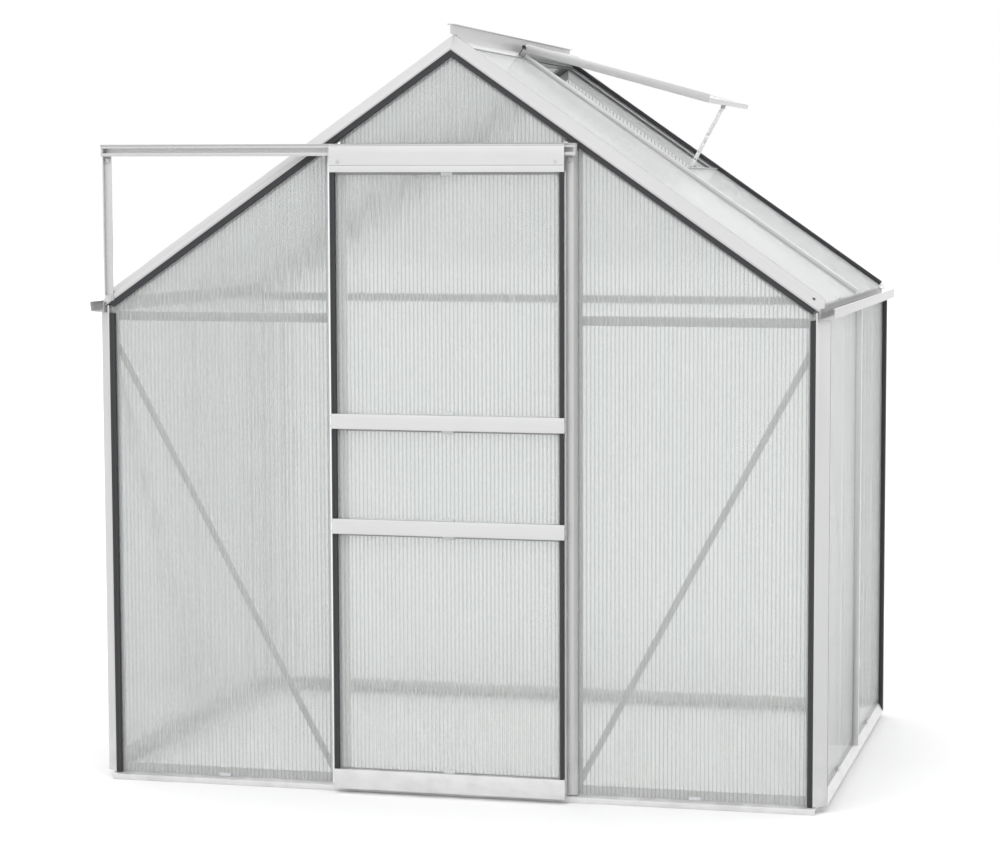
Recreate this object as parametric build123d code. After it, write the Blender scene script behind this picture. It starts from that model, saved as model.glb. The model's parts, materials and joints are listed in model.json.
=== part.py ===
from build123d import *
import os
from math import atan2, cos, degrees, hypot, radians, sin, tan

# A small ridge-roofed greenhouse: a bar frame, twin-wall panes, a sliding door and a roof vent.
# Millimetres, +Z up, the door towards -Y. The origin is on the ground under the middle of the house.

# Overall frame
frame_width = 1900.0      # over the outer faces of the corner posts
frame_depth = 1292.0      # over the outer faces of the two gables
eave_height = 1263.0      # where the side and roof planes would meet
ridge_height = 1923.0     # where the two roof planes would meet
ridge_rise = 25.0         # top of the ridge bar above that line

# Panes and the seats that hold them
pane_thickness = 4.0
pane_inset = 12.0         # outer face of a pane behind the outer face of its bars
pane_gap = 1.0            # room between the edge of a pane and its bar
seat_width = 20.0         # ledge under the edge of a pane
bar_wall = 2.0
seal_width = 14.0
seal_sink = 1.0           # face of a seal behind the outer face of its bar
seal_groove = 1.2
seal_foot_gap = 19.0      # rafter seals end this far short of the foot of the slope

# Corner posts and gable rafters share one bevelled section
corner_bevel = 28.0
corner_lip = 4.0
fixing_hole_radius = 4.0
fixing_hole_rise = 38.0   # hole in a rafter, up the slope from its foot
rafter_end_inset = 13.0   # sawn foot of a rafter inside the side plane

# Sills
sill_height = 18.0
sill_lip_height = 14.0
sill_projection = 8.0
sill_web = 24.0
sill_flange = 31.0        # inner edge of the ground flange behind the outer face
sill_end_lap = 7.0        # ends of a gable sill's ledge, on under the corner posts
side_sill_base = 16.0     # the side sills hang between the posts, clear of the ground
side_sill_top = 40.0
anchor_hole_radius = 4.0
anchor_inset = 24.5
anchor_spacing = 900.0

# Gutters
gutter_drop = 13.0        # rim below the eave line
gutter_height = 28.0
gutter_inside = 22.0
gutter_outside = 16.0
gutter_rise = 3.0         # floor climbs outwards
gutter_flare = 2.0
gutter_wall = 1.6
gutter_rim = 5.0
gutter_overhang = 10.0
joint_drop = 10.0         # post and rafter meet this far below the gutter rim

# Ribbed bars in the middle of each side and roof slope
rib_width = 10.0
rib_rise = 2.0
rib_flange = 17.0

# Ridge bar
ridge_web = 3.0
ridge_flange = 18.0
ridge_cover = 37.0        # reach of the wings down each slope
ridge_inset = 3.0
fit_gap = 0.3

# Ties and braces behind the panes
tie_height = 24.0
tie_depth = 16.0
tie_drop = 38.0
header_height = 50.0
header_drop = 22.0        # foot of the door header below the track
brace_width = 17.0
brace_thickness = 3.0
brace_foot = 54.0
brace_drop = 113.0        # top of a brace below the eave line
brace_inset = 9.0

# Door
door_width = 606.0
door_shift = -5.5         # the shut door stands a little left of the middle
door_foot = 13.0
door_depth = 22.0
door_gap = 11.0           # between the back of the door and the front of the frame
door_plate = 2.0
stile_wall = 3.0
door_seat = 19.0
top_rail_drop = 41.0      # foot of the top rail below the track
top_rail_height = 69.0
mid_rail_height = 38.0
upper_rail_base = 936.0
lower_rail_base = 669.0
kick_height = 50.0
door_seal_width = 13.0
door_post_face = 34.0
door_post_seat = 10.0     # ledge under the edge of a pane beside the doorway
door_post_clear = 3.0     # half of the door's width to the middle of the post behind it
guide_length = 30.0
guide_inset = 60.0
guide_lap = 3.0           # guide below the top of the sill's lip

# Door track, its stay and the wheels
track_drop = 25.0         # foot of the track below the heads of the door posts
track_height = 30.0
track_depth = 24.0
track_wall = 2.0
track_lower_lip = 8.0
track_upper_lip = 10.0
track_end_inset = 26.0    # free end of the track in from the side plane
track_overhang = 20.0     # other end of the track past half of the door's width
stop_length = 5.0
stay_width = 20.0
stay_leg = 14.0
stay_wall = 3.0
stay_foot_drop = 12.0     # lower end of the stay below the eave line
wheel_radius = 12.0
wheel_width = 12.0
wheel_inset = 54.0
wheel_chamfer = 1.5
axle_radius = 3.0
axle_collar = 1.2
running_gap = 0.05
side_gap = 0.3

# Roof vent
vent_open = 19.4          # degrees above the slope in the pose that is modelled
vent_length = 530.0       # hinge line to lower edge
vent_over_bar = 16.0      # front edge past the middle of the roof bar
vent_rear_margin = 22.0   # rear edge short of the rear gable's outer face
vent_depth = 23.0         # front side bar
vent_rear_depth = 12.5
vent_clear = 2.5          # underside above the roof plane when shut
vent_wall = 2.5
vent_ledge = 13.5
vent_pane_lift = 7.5      # underside of the pane above the underside of the frame
vent_plate = 2.0
vent_lap = 26.0           # bottom bar over the foot of the pane
vent_head_lap = 32.0      # cover plate from the hinge line over the head of the pane
vent_pane_stop = 22.0     # foot of the pane above the lower edge
hinge_down = 24.0         # hinge line from the ridge, along the slope
hinge_lift = 15.0         # hinge line above the roof plane
bead_radius = 4.0
neck_width = 2.4
hook_wall = 2.4
hook_gap_near = 20.0      # degrees of the hook's mouth on either side of the neck
hook_gap_far = 64.0
opening_length = 556.0    # ridge to the upper face of the bar below the vent
opening_lap = 24.0
opening_sink = 8.0        # upper edge of that bar below the roof plane

# Vent stay
stay_inset = 14.0         # pivot above the vent's lower edge
stay_drop = 17.0          # pivot below the hinge line's level in the vent
lug_width = 12.0
lug_wall = 2.5
lug_gap = 0.5
pivot_radius = 2.5
arm_thickness = 3.0
arm_width = 11.0
arm_eye_radius = 7.0
arm_length = 191.0        # pivot to the last hole
arm_lean = 61.4           # degrees below the horizontal
arm_hole_radius = 2.5
arm_hole_count = 5
arm_hole_pitch = 24.0
stud_gap = 0.5
stud_length = 6.0
stud_plate = 3.0
stud_plate_width = 16.0

# Clips and bolts
clip_length = 30.0
clip_height = 9.0
clip_depth = 4.0
clip_wall = 1.2
bolt_flats = 10.0
bolt_head = 4.0

# Values that follow from the sizes above
LEFT, RIGHT = -1, 1
FRONT, REAR = -1, 1
half_width = frame_width / 2
ridge_top = ridge_height + ridge_rise
face = corner_bevel + corner_lip
seat = pane_inset + pane_thickness
behind_seat = seat + bar_wall
pane_margin = face + pane_gap
door_front = door_gap + door_depth + door_plate
y_front = (door_front - gutter_overhang - frame_depth) / 2
y_rear = y_front + frame_depth
y_mid = (y_front + y_rear) / 2
pitch = atan2(ridge_height - eave_height, half_width)
slope_length = hypot(ridge_height - eave_height, half_width)
gutter_top = eave_height - gutter_drop
gutter_base = gutter_top - gutter_height
joint_height = gutter_top - joint_drop
roof_pane_head = (ridge_web / 2 + pane_gap) / cos(pitch) + seat * tan(pitch)
roof_pane_foot = slope_length - pane_inset * tan(pitch) - corner_lip - pane_gap
door_half = door_width / 2
door_post_x = door_half + door_post_clear
door_post_head = ridge_height - door_post_x * tan(pitch) - (face + seat_width) / cos(pitch)
track_base = door_post_head - track_drop
track_reach_left = half_width - track_end_inset
track_reach_right = door_half + track_overhang
header_base = track_base - header_drop
top_rail_base = track_base - top_rail_drop
door_top = top_rail_base + top_rail_height
tie_top = eave_height - tie_drop
brace_head = eave_height - brace_drop
wheel_x = door_half - wheel_inset
wheel_z = track_base + track_wall + side_gap + wheel_radius
bay_edge = rib_width / 2 + pane_gap
far_reach = frame_width + frame_depth + ridge_top


def gable_y(end):
    """Outer plane of the front or rear gable."""
    return y_front if end == FRONT else y_rear


def ribbon(path, wall):
    """Closed outline of a strip one wall thick, to the right of a path (to the left if negative)."""
    headings = []
    for (ax, ay), (bx, by) in zip(path, path[1:]):
        reach = hypot(bx - ax, by - ay)
        headings.append(((bx - ax) / reach, (by - ay) / reach))
    edge = []
    for i, (x, y) in enumerate(path):
        before = headings[max(i - 1, 0)]
        after = headings[min(i, len(headings) - 1)]
        right = (before[1] + after[1], -before[0] - after[0])
        scale = wall / (1 + before[0] * after[0] + before[1] * after[1])
        edge.append((x + right[0] * scale, y + right[1] * scale))
    return path + edge[::-1]


def prism(points, run):
    """Solid made by pushing a closed outline of points along a run."""
    outline = Wire.make_polygon([Vector(*p) for p in points], close=True)
    return Solid.extrude(Face(outline), Vector(*run))


def bar(outline, origin, across, up, run):
    """Bar whose section lies in the plane of two directions."""
    start, a_dir, b_dir = Vector(*origin), Vector(*across), Vector(*up)
    points = [start + a_dir * a + b_dir * b for a, b in outline]
    return prism([(p.X, p.Y, p.Z) for p in points], run)


def block(low, high):
    """Box between two corners."""
    size = [b - a for a, b in zip(low, high)]
    return Solid.make_box(*size).moved(Location(low))


def rectangle(a0, a1, b0, b1):
    """Outline of a rectangle in a section's own directions."""
    return [(a0, b0), (a1, b0), (a1, b1), (a0, b1)]


def largest(shape):
    """The one solid that a cut or a join leaves, without slivers."""
    return shape.solids().sort_by(SortBy.VOLUME)[-1]


def cut(shape, *tools):
    """A solid with other solids taken away."""
    return largest(shape.cut(*tools))


def join(shape, *others):
    """Touching solids made into one."""
    return largest(shape.fuse(*others))


def slope_point(side, down, sink, y):
    """Point on a roof slope: down from the ridge, sunk below the roof plane."""
    x = down * cos(pitch) - sink * sin(pitch)
    z = ridge_height - down * sin(pitch) - sink * cos(pitch)
    return (side * x, y, z)


def slope_across(side, outline, y0, y1):
    """Bar that runs along the house on a roof slope; its section is (down, sink)."""
    points = [slope_point(side, down, sink, y0) for down, sink in outline]
    return prism(points, (0, y1 - y0, 0))


def slope_along(side, outline, start, stop):
    """Bar that runs down a roof slope; its section is (y, sink)."""
    points = [slope_point(side, start, sink, y) for y, sink in outline]
    run = (side * cos(pitch) * (stop - start), 0, -sin(pitch) * (stop - start))
    return prism(points, run)


def under_roof(margin, y0, y1):
    """Everything lower than a margin under both roof planes, between two places along the house."""
    peak = ridge_height - margin / cos(pitch)
    foot = peak - far_reach * tan(pitch)
    outline = [(0, peak), (far_reach, foot), (far_reach, foot - far_reach),
               (-far_reach, foot - far_reach), (-far_reach, foot)]
    return prism([(x, y0, z) for x, z in outline], (0, y1 - y0, 0))


def turned(profile, centre_x, centre_z):
    """Solid turned about an axis along Y; the profile is (radius, y)."""
    outline = Wire.make_polygon([Vector(centre_x + r, y, centre_z) for r, y in profile], close=True)
    return Solid.revolve(Face(outline), 360, Axis((centre_x, 0, centre_z), (0, 1, 0)))


def rod(start, stop, radius):
    """Round rod between two points."""
    a, b = Vector(*start), Vector(*stop)
    return Solid.make_cylinder(radius, (b - a).length, Plane(origin=a, z_dir=b - a))


def bolt(seat_point, outward):
    """Hexagon bolt head standing on a face."""
    plane = Plane(origin=seat_point, z_dir=outward)
    corners = [plane.from_local_coords(Vector(bolt_flats / 2 / cos(radians(30)), 0, 0).rotate(Axis.Z, 60 * i))
               for i in range(6)]
    lift = plane.z_dir * bolt_head
    return prism([(c.X, c.Y, c.Z) for c in corners], (lift.X, lift.Y, lift.Z))


def corner_path():
    """Outer line of a corner bar: two pane seats, two lips and the bevel between them."""
    return [(face + seat_width, seat), (face, seat), (face, 0), (corner_bevel, 0),
            (0, corner_bevel), (0, face), (seat, face), (seat, face + seat_width)]


def corner_outline():
    """Section of a corner bar."""
    return ribbon(corner_path(), bar_wall)


def rib_outline(half_face, proud, flange):
    """Section of a hat bar: a proud rib with a pane seat on each side."""
    path = [(half_face + flange, seat), (half_face, seat), (half_face, -proud),
            (-half_face, -proud), (-half_face, seat), (-half_face - flange, seat)]
    return ribbon(path, bar_wall)


def seal_outline():
    """Section of a glazing seal, with a groove along its face; (from the bar's lip, sink)."""
    middle = seal_width / 2
    return [(0, pane_inset), (0, seal_sink), (middle - seal_groove, seal_sink),
            (middle, seal_sink + seal_groove), (middle + seal_groove, seal_sink),
            (seal_width, seal_sink), (seal_width, pane_inset)]


def sill_path():
    """Line of a gable sill: ground flange, front lip, sloping ledge and the web behind the pane."""
    return [(sill_flange, 0), (-sill_projection, 0), (-sill_projection, sill_lip_height),
            (pane_inset, sill_height), (seat, sill_height), (seat, sill_height + sill_web)]


def gable_sill(end):
    """Sill under the front or rear gable: its web ends between the corner posts, its ledge under them."""
    solids = []
    for path, reach in ((sill_path(), half_width - face), (sill_path()[:-1], half_width - face + sill_end_lap)):
        solids.append(bar(ribbon(path, bar_wall), (-reach, gable_y(end), 0), (0, -end, 0), (0, 0, 1),
                          (2 * reach, 0, 0)))
    return join(*solids)


def along_side(side, outline):
    """Solid of a section carried along a side, between the corner posts."""
    return bar(outline, (side * half_width, y_front + face, 0), (-side, 0, 0), (0, 0, 1),
               (0, frame_depth - 2 * face, 0))


def side_sill(side):
    """Sill under a side: anchor flange, sloping face and the web behind the pane."""
    path = [(sill_flange, side_sill_base), (0, side_sill_base), (pane_inset, side_sill_top),
            (seat, side_sill_top), (seat, side_sill_top + sill_web)]
    x = side * (half_width - anchor_inset)
    holes = []
    for y in (y_mid - anchor_spacing / 2, y_mid + anchor_spacing / 2):
        holes.append(rod((x, y, side_sill_base - bar_wall), (x, y, side_sill_base + 2 * bar_wall),
                         anchor_hole_radius))
    return cut(along_side(side, ribbon(path, bar_wall)), *holes)


def side_sill_space(side):
    """All the room under and behind a side sill's face."""
    return along_side(side, [(0, 0), (0, side_sill_base), (pane_inset, side_sill_top),
                             (sill_flange, side_sill_top), (sill_flange, 0)])


def gutter_path():
    """Inside and outside of a gutter: (out from the side plane, height)."""
    return [(-gutter_inside, gutter_top), (-gutter_inside, gutter_base),
            (gutter_outside - gutter_flare, gutter_base + gutter_rise), (gutter_outside, gutter_top)]


def along_eave(side, outline):
    """Solid of a section carried along the eave, as long as the gutter."""
    return bar(outline, (side * half_width, y_front - gutter_overhang, 0), (side, 0, 0), (0, 0, 1),
               (0, frame_depth + 2 * gutter_overhang, 0))


def gutter(side):
    """Open channel along an eave, with a turned-in rim."""
    return along_eave(side, ribbon(gutter_path() + [(gutter_outside - gutter_rim, gutter_top)], -gutter_wall))


def gutter_space(side):
    """All the room that a gutter fills, its channel too."""
    return along_eave(side, gutter_path())


def corner_post(side, end):
    """Bevelled corner post, standing on the gable sill's ledge and notched for the gutter and the sills."""
    post = bar(corner_outline(), (side * half_width, gable_y(end), sill_height), (-side, 0, 0), (0, -end, 0),
               (0, 0, joint_height - sill_height))
    return cut(post, gutter_space(side), gable_sill(end), side_sill(side), side_sill_space(side))


def edge_point(side, end, down, sink, inward):
    """Point at the gable edge of a roof slope, in from the gable's outer plane."""
    return slope_point(side, down, sink, gable_y(end) - end * inward)


def corner_slope_bar(side, end, outline, start, stop):
    """Bar along the gable edge of a roof slope; its section is (sink, in from the gable)."""
    points = [edge_point(side, end, start, sink, inward) for sink, inward in outline]
    run = (side * cos(pitch) * (stop - start), 0, -sin(pitch) * (stop - start))
    return prism(points, run)


def other_half(side):
    """Everything on the far side of the middle plane."""
    low_x = -far_reach if side == RIGHT else 0.0
    return block((low_x, -far_reach, -far_reach), (low_x + far_reach, far_reach, far_reach))


def gable_rafter(side, end):
    """Bevelled rafter: mitred at the ridge, standing on its post, notched over the gutter."""
    rafter = corner_slope_bar(side, end, corner_outline(), -2 * face, slope_length + 2 * face)
    reach = half_width - rafter_end_inset
    outside = reach if side == RIGHT else -reach - far_reach
    beyond = block((outside, -far_reach, -far_reach), (outside + far_reach, far_reach, far_reach))
    below = block((-far_reach, -far_reach, joint_height - far_reach), (far_reach, far_reach, joint_height))
    down = slope_length - fixing_hole_rise
    outer = corner_bevel / 2 - bar_wall
    inner = corner_bevel / 2 + 2 * bar_wall
    hole = rod(edge_point(side, end, down, outer, outer), edge_point(side, end, down, inner, inner),
               fixing_hole_radius)
    return cut(rafter, other_half(side), beyond, below, gutter_space(side), hole)


def corner_seals():
    """Black strips that press on the panes along every corner bar."""
    seals = []
    turned_outline = [(b, a + face) for a, b in seal_outline()]
    gable_outline = [(a + face, b) for a, b in seal_outline()]
    post_top = gutter_base - 2 * pane_gap
    rafter_foot = slope_length - seal_foot_gap
    for side in (LEFT, RIGHT):
        for end in (FRONT, REAR):
            corner = (side * half_width, gable_y(end), sill_height)
            rise = (0, 0, post_top - sill_height)
            for outline in (gable_outline, turned_outline):
                seals.append(cut(bar(outline, corner, (-side, 0, 0), (0, -end, 0), rise), side_sill_space(side)))
            for outline in (gable_outline, turned_outline):
                strip = corner_slope_bar(side, end, outline, -2 * face, rafter_foot)
                seals.append(cut(strip, other_half(side)))
    return seals


def door_post(side):
    """Hat bar beside the doorway, from the sill to the rafter."""
    outline = rib_outline(door_post_face / 2, 0, door_post_seat)
    foot = (side * door_post_x, y_front, sill_height)
    post = bar(outline, foot, (1, 0, 0), (0, 1, 0), (0, 0, ridge_height))
    room = under_roof(face + seat_width, y_front - far_reach, y_front + far_reach)
    return cut(largest(post.intersect(room)), gable_sill(FRONT))


def side_bar(side):
    """Ribbed bar up the middle of a side, under the gutter."""
    outline = rib_outline(rib_width / 2, rib_rise, rib_flange)
    upright = bar(outline, (side * half_width, y_mid, side_sill_top), (0, 1, 0), (-side, 0, 0),
                  (0, 0, gutter_top - side_sill_top))
    return cut(upright, gutter_space(side), side_sill(side))


def roof_bar(side):
    """Ribbed bar down the middle of a roof slope, from the ridge wing to the gutter."""
    outline = [(y_mid + a, b) for a, b in rib_outline(rib_width / 2, rib_rise, rib_flange)]
    return cut(slope_along(side, outline, ridge_cover + fit_gap, roof_pane_foot), gutter_space(side))


def ridge_bar():
    """Ridge: a web with a top flange, wings over and under the panes, and the bead that the vent hangs on."""
    inner = face + seat_width + fit_gap
    y0, y1 = y_front + inner, y_rear - inner
    low = ridge_height - (seat + bar_wall) / cos(pitch)
    web = block((-ridge_web / 2, y0, low), (ridge_web / 2, y1, ridge_top))
    crest = block((-ridge_web / 2, y_front + ridge_inset, ridge_height),
                  (ridge_web / 2, y_rear - ridge_inset, ridge_top))
    flange = block((-ridge_flange / 2, y_front + ridge_inset, ridge_top - bar_wall),
                   (ridge_flange / 2, y_rear - ridge_inset, ridge_top))
    pieces = [crest, flange]
    for side in (LEFT, RIGHT):
        for sink in (pane_inset - fit_gap - bar_wall, seat):
            head = (sink + bar_wall) * tan(pitch)
            pieces.append(slope_across(side, rectangle(head, ridge_cover, sink, sink + bar_wall), y0, y1))
    neck = rectangle(hinge_down - neck_width / 2, hinge_down + neck_width / 2,
                     -hinge_lift, pane_inset - fit_gap - bar_wall)
    bead_start = y_mid - vent_over_bar - pane_gap
    pieces.append(slope_across(RIGHT, neck, bead_start, y1))
    pieces.append(rod(slope_point(RIGHT, hinge_down, -hinge_lift, bead_start),
                      slope_point(RIGHT, hinge_down, -hinge_lift, y_rear - vent_rear_margin), bead_radius))
    return join(web, *pieces)


def tie_outline():
    """Section of an eave tie: an angle with its leg inwards at the top; (in from the gable, height)."""
    return [(behind_seat, tie_top - tie_height), (behind_seat + bar_wall, tie_top - tie_height),
            (behind_seat + bar_wall, tie_top - bar_wall), (behind_seat + tie_depth, tie_top - bar_wall),
            (behind_seat + tie_depth, tie_top), (behind_seat, tie_top)]


def gable_tie(end, x0, x1):
    """Tie across a gable at the eave, behind the panes."""
    return bar(tie_outline(), (x0, gable_y(end), 0), (0, -end, 0), (0, 0, 1), (x1 - x0, 0, 0))


def door_header():
    """Angle over the doorway, behind the foot of the top pane."""
    reach = door_post_x + door_post_face / 2
    plate = block((-reach, y_front + behind_seat, header_base),
                  (reach, y_front + behind_seat + bar_wall, header_base + header_height))
    ledge = block((-reach, y_front + behind_seat, header_base),
                  (reach, y_front + behind_seat + tie_depth, header_base + bar_wall))
    return join(plate, ledge)


def brace_ends(outer, inner):
    """Top and bottom middles of a brace that falls from an outer bar to an inner one."""
    return (outer, brace_head), (inner, brace_foot)


def brace(origin, along, normal, ends):
    """Flat brace between two places on a wall."""
    (a0, b0), (a1, b1) = ends
    reach = hypot(a1 - a0, b1 - b0)
    ax, bx = (b1 - b0) / reach * brace_width / 2, -(a1 - a0) / reach * brace_width / 2
    outline = [(a0 + ax, b0 + bx), (a1 + ax, b1 + bx), (a1 - ax, b1 - bx), (a0 - ax, b0 - bx)]
    run = [brace_thickness * n for n in normal]
    return bar(outline, origin, along, (0, 0, 1), run)


def front_brace_ends():
    """Front braces run from the corner post's seat to the door post's seat; measured from the middle."""
    return brace_ends(half_width - face - brace_inset, door_post_x + (door_post_face + door_post_seat) / 2)


def side_brace_ends():
    """Side braces run from the front post's seat to the ribbed bar; measured from the front gable."""
    return brace_ends(face + brace_inset, frame_depth / 2 - rib_width / 2 - brace_inset)


def braces():
    """Two braces behind the front panes and one in the front bay of each side."""
    solids = []
    for side in (LEFT, RIGHT):
        solids.append(brace((0, y_front + behind_seat, 0), (side, 0, 0), (0, 1, 0), front_brace_ends()))
        solids.append(brace((side * (half_width - behind_seat), y_front, 0), (0, 1, 0), (-side, 0, 0),
                            side_brace_ends()))
    return solids


def gable_pane(end, x0, x1, z0, z1):
    """Pane in a gable: a rectangle with its top cut to the rafters."""
    y0 = y_front + pane_inset if end == FRONT else y_rear - seat
    plate = block((x0, y0, z0), (x1, y0 + pane_thickness, z1))
    return largest(plate.intersect(under_roof(pane_margin, y0 - far_reach, y0 + far_reach)))


def side_pane(side, y0, y1):
    """Pane in a side, between the sill and the gutter."""
    x0 = half_width - seat if side == RIGHT else -half_width + pane_inset
    return block((x0, y0, side_sill_top), (x0 + pane_thickness, y1, gutter_base - pane_gap))


def roof_pane(side, y0, y1, start):
    """Pane on a roof slope, down to the gutter."""
    return slope_across(side, rectangle(start, roof_pane_foot, pane_inset, seat), y0, y1)


def bays():
    """Front and rear ends of the two bays along the house."""
    return (y_front + pane_margin, y_mid - bay_edge), (y_mid + bay_edge, y_rear - pane_margin)


def vent_sill():
    """Bar below the vent opening, with the stud that the vent stay sits on."""
    upstand = slope_across(RIGHT, rectangle(opening_length, opening_length + bar_wall, opening_sink, seat),
                           y_mid + rib_width / 2, y_rear - face - seal_width)
    ledge = slope_across(RIGHT, rectangle(opening_length, opening_length + opening_lap, seat, behind_seat),
                         y_mid + rib_width / 2 + rib_flange, y_rear - face - seat_width)
    foot_x, foot_z = stay_foot()
    beside = vent_middle() + arm_thickness / 2 + stud_gap
    down = foot_x * cos(pitch) + (ridge_height - foot_z) * sin(pitch)
    sink = -foot_x * sin(pitch) + (ridge_height - foot_z) * cos(pitch)
    stud = rod((foot_x, beside, foot_z), (foot_x, beside + stud_length + stud_plate, foot_z), arm_hole_radius)
    low, high = min(sink - stud_plate_width / 2, seat), sink + stud_plate_width / 2
    plate = slope_across(RIGHT, rectangle(down - stud_plate_width / 2, opening_length, low, high),
                         beside + stud_length, beside + stud_length + stud_plate)
    return join(upstand, ledge, plate, stud)


def door_track():
    """Channel that the door hangs in, open to the front between two lips."""
    low, high = track_base, track_base + track_height
    path = [(track_depth, low + track_lower_lip), (track_depth, low), (0, low), (0, high),
            (track_depth, high), (track_depth, high - track_upper_lip)]
    return bar(ribbon(path, track_wall), (-track_reach_left, y_front, 0), (0, -1, 0), (0, 0, 1),
               (track_reach_left + track_reach_right, 0, 0))


def track_stops():
    """Plugs at both ends of the track."""
    stops = []
    for x in (-track_reach_left, track_reach_right - stop_length):
        stops.append(block((x, y_front - track_depth + track_wall, track_base + track_wall),
                           (x + stop_length, y_front - track_wall, track_base + track_height - track_wall)))
    return stops


def track_stay():
    """Angle bar from the free end of the track down to the foot of the left rafter."""
    outline = [(0, 0), (stay_width, 0), (stay_width, stay_wall), (stay_wall, stay_wall),
               (stay_wall, stay_leg), (0, stay_leg)]
    base = eave_height - stay_foot_drop
    return bar(outline, (-track_reach_left, y_front, base), (1, 0, 0), (0, -1, 0), (0, 0, track_base - base))


def door_y(depth):
    """Place behind the front of the door's stiles, as a coordinate."""
    return y_front - door_gap - door_depth + depth


def door_stile(side):
    """Door stile: an edge wall with a pane seat, cut back where the seals cover it."""
    outline = [(0, 0), (stile_wall, 0), (stile_wall, seat), (stile_wall + door_seat, seat),
               (stile_wall + door_seat, behind_seat), (stile_wall, behind_seat), (stile_wall, door_depth),
               (0, door_depth)]
    stile = bar(outline, (side * door_half, door_y(0), door_foot), (-side, 0, 0), (0, 1, 0),
                (0, 0, top_rail_base - door_foot))
    room = [bar(rectangle(-stile_wall, 2 * stile_wall, -stile_wall, pane_inset), (side * door_half, door_y(0), low),
                (-side, 0, 0), (0, 1, 0), (0, 0, high - low)) for low, high in door_openings()]
    return cut(stile, *room)


def door_rail(base, height, web_height):
    """Door rail: a face plate over the stiles, flanges down to the panes and a web between them."""
    reach = door_half - stile_wall - side_gap
    plate = block((-door_half, door_y(-door_plate), base), (door_half, door_y(0), base + height))
    pieces = [plate]
    for z in (base, base + height - door_plate):
        pieces.append(block((-reach, door_y(-door_plate), z), (reach, door_y(pane_inset), z + door_plate)))
    pieces.append(block((-reach, door_y(-door_plate), web_height),
                        (reach, door_y(seat), web_height + door_plate)))
    return join(*pieces)


def door_top_rail():
    """Deep plate in front of the track, with a flange on top of the stiles."""
    plate = block((-door_half, door_y(-door_plate), top_rail_base), (door_half, door_y(0), door_top))
    flange = block((-door_half, door_y(-door_plate), top_rail_base),
                   (door_half, door_y(behind_seat), top_rail_base + door_plate))
    return join(plate, flange)


def door_webs():
    """Heights of the webs that part the door's panes, from the kick plate to the top rail."""
    middle = (mid_rail_height - door_plate) / 2
    return [door_foot + kick_height / 2, lower_rail_base + middle, upper_rail_base + middle, top_rail_base]


def door_pane(index):
    """One of the door's three panes, counted from the bottom."""
    webs = door_webs()
    reach = door_half - stile_wall - pane_gap
    return block((-reach, door_y(pane_inset), webs[index] + door_plate),
                 (reach, door_y(seat), webs[index + 1]))


def door_openings():
    """Heights of the door's visible panes, from the bottom."""
    return [(door_foot + kick_height, lower_rail_base),
            (lower_rail_base + mid_rail_height, upper_rail_base),
            (upper_rail_base + mid_rail_height, top_rail_base)]


def door_seals():
    """Black strips along the stiles, one for each pane and side."""
    width = door_seal_width
    outline = [(a * width / seal_width, b) for a, b in seal_outline()]
    seals = []
    for low, high in door_openings():
        for side in (LEFT, RIGHT):
            foot = (side * door_half, door_y(0), low)
            seals.append(bar(outline, foot, (-side, 0, 0), (0, 1, 0), (0, 0, high - low)))
    return seals


def clip(origin, along, up, out):
    """Spring clip that holds the edge of a pane: a plate on the pane with a turned-out foot."""
    outline = [(0, 0), (clip_height, 0), (clip_height, clip_wall), (clip_wall, clip_wall),
               (clip_wall, clip_depth), (0, clip_depth)]
    start = Vector(*origin) - Vector(*along) * (clip_length / 2)
    run = Vector(*along) * clip_length
    return bar(outline, tuple(start), up, out, tuple(run))


def door_clips():
    """Clips at the middle of each visible pane's lower and upper edge."""
    clips = []
    for low, high in door_openings():
        for z, up in ((low, 1), (high, -1)):
            clips.append(clip((0, door_y(pane_inset), z), (1, 0, 0), (0, 0, up), (0, -1, 0)))
    return clips


def frame_clips():
    """Clips along the foot of the front, side and roof panes."""
    clips = []
    front_x = (half_width - face + door_post_x + door_post_face / 2) / 2
    for side in (LEFT, RIGHT):
        clips.append(clip((side * front_x, y_front + pane_inset, sill_height), (1, 0, 0), (0, 0, 1), (0, -1, 0)))
        for y0, y1 in bays():
            y = (y0 + y1) / 2
            place = (side * (half_width - pane_inset), y, side_sill_top)
            clips.append(clip(place, (0, 1, 0), (0, 0, 1), (side, 0, 0)))
            clips.append(clip(slope_point(side, roof_pane_foot, pane_inset, y), (0, 1, 0),
                              (-side * cos(pitch), 0, sin(pitch)), (side * sin(pitch), 0, cos(pitch))))
    return clips


def frame_bolts():
    """Bolt heads at the ends of the braces and the track stay, and on the door posts under the track."""
    bolts = []
    inside = behind_seat + brace_thickness
    for side in (LEFT, RIGHT):
        for x, z in front_brace_ends():
            bolts.append(bolt((side * x, y_front + inside, z), (0, 1, 0)))
        for y, z in side_brace_ends():
            bolts.append(bolt((side * (half_width - inside), y_front + y, z), (-side, 0, 0)))
        bolts.append(bolt((side * door_post_x, y_front, track_base - bolt_flats), (0, -1, 0)))
    stay_x = -track_reach_left + (stay_width + stay_wall) / 2
    for z in (eave_height, track_base - bolt_flats):
        bolts.append(bolt((stay_x, y_front - stay_wall, z), (0, -1, 0)))
    return bolts


def wheel_span():
    """Front and back of a wheel inside the track."""
    middle = y_front - track_depth / 2
    return middle - wheel_width / 2, middle + wheel_width / 2


def wheel(side):
    """Nylon wheel with a waisted tread, turning on its axle."""
    y0, y1 = wheel_span()
    bore = axle_radius + running_gap
    profile = [(bore, y0), (wheel_radius - wheel_chamfer, y0), (wheel_radius, y0 + wheel_chamfer),
               (wheel_radius, y1 - wheel_chamfer), (wheel_radius - wheel_chamfer, y1), (bore, y1)]
    return turned(profile, side * wheel_x, wheel_z)


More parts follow.
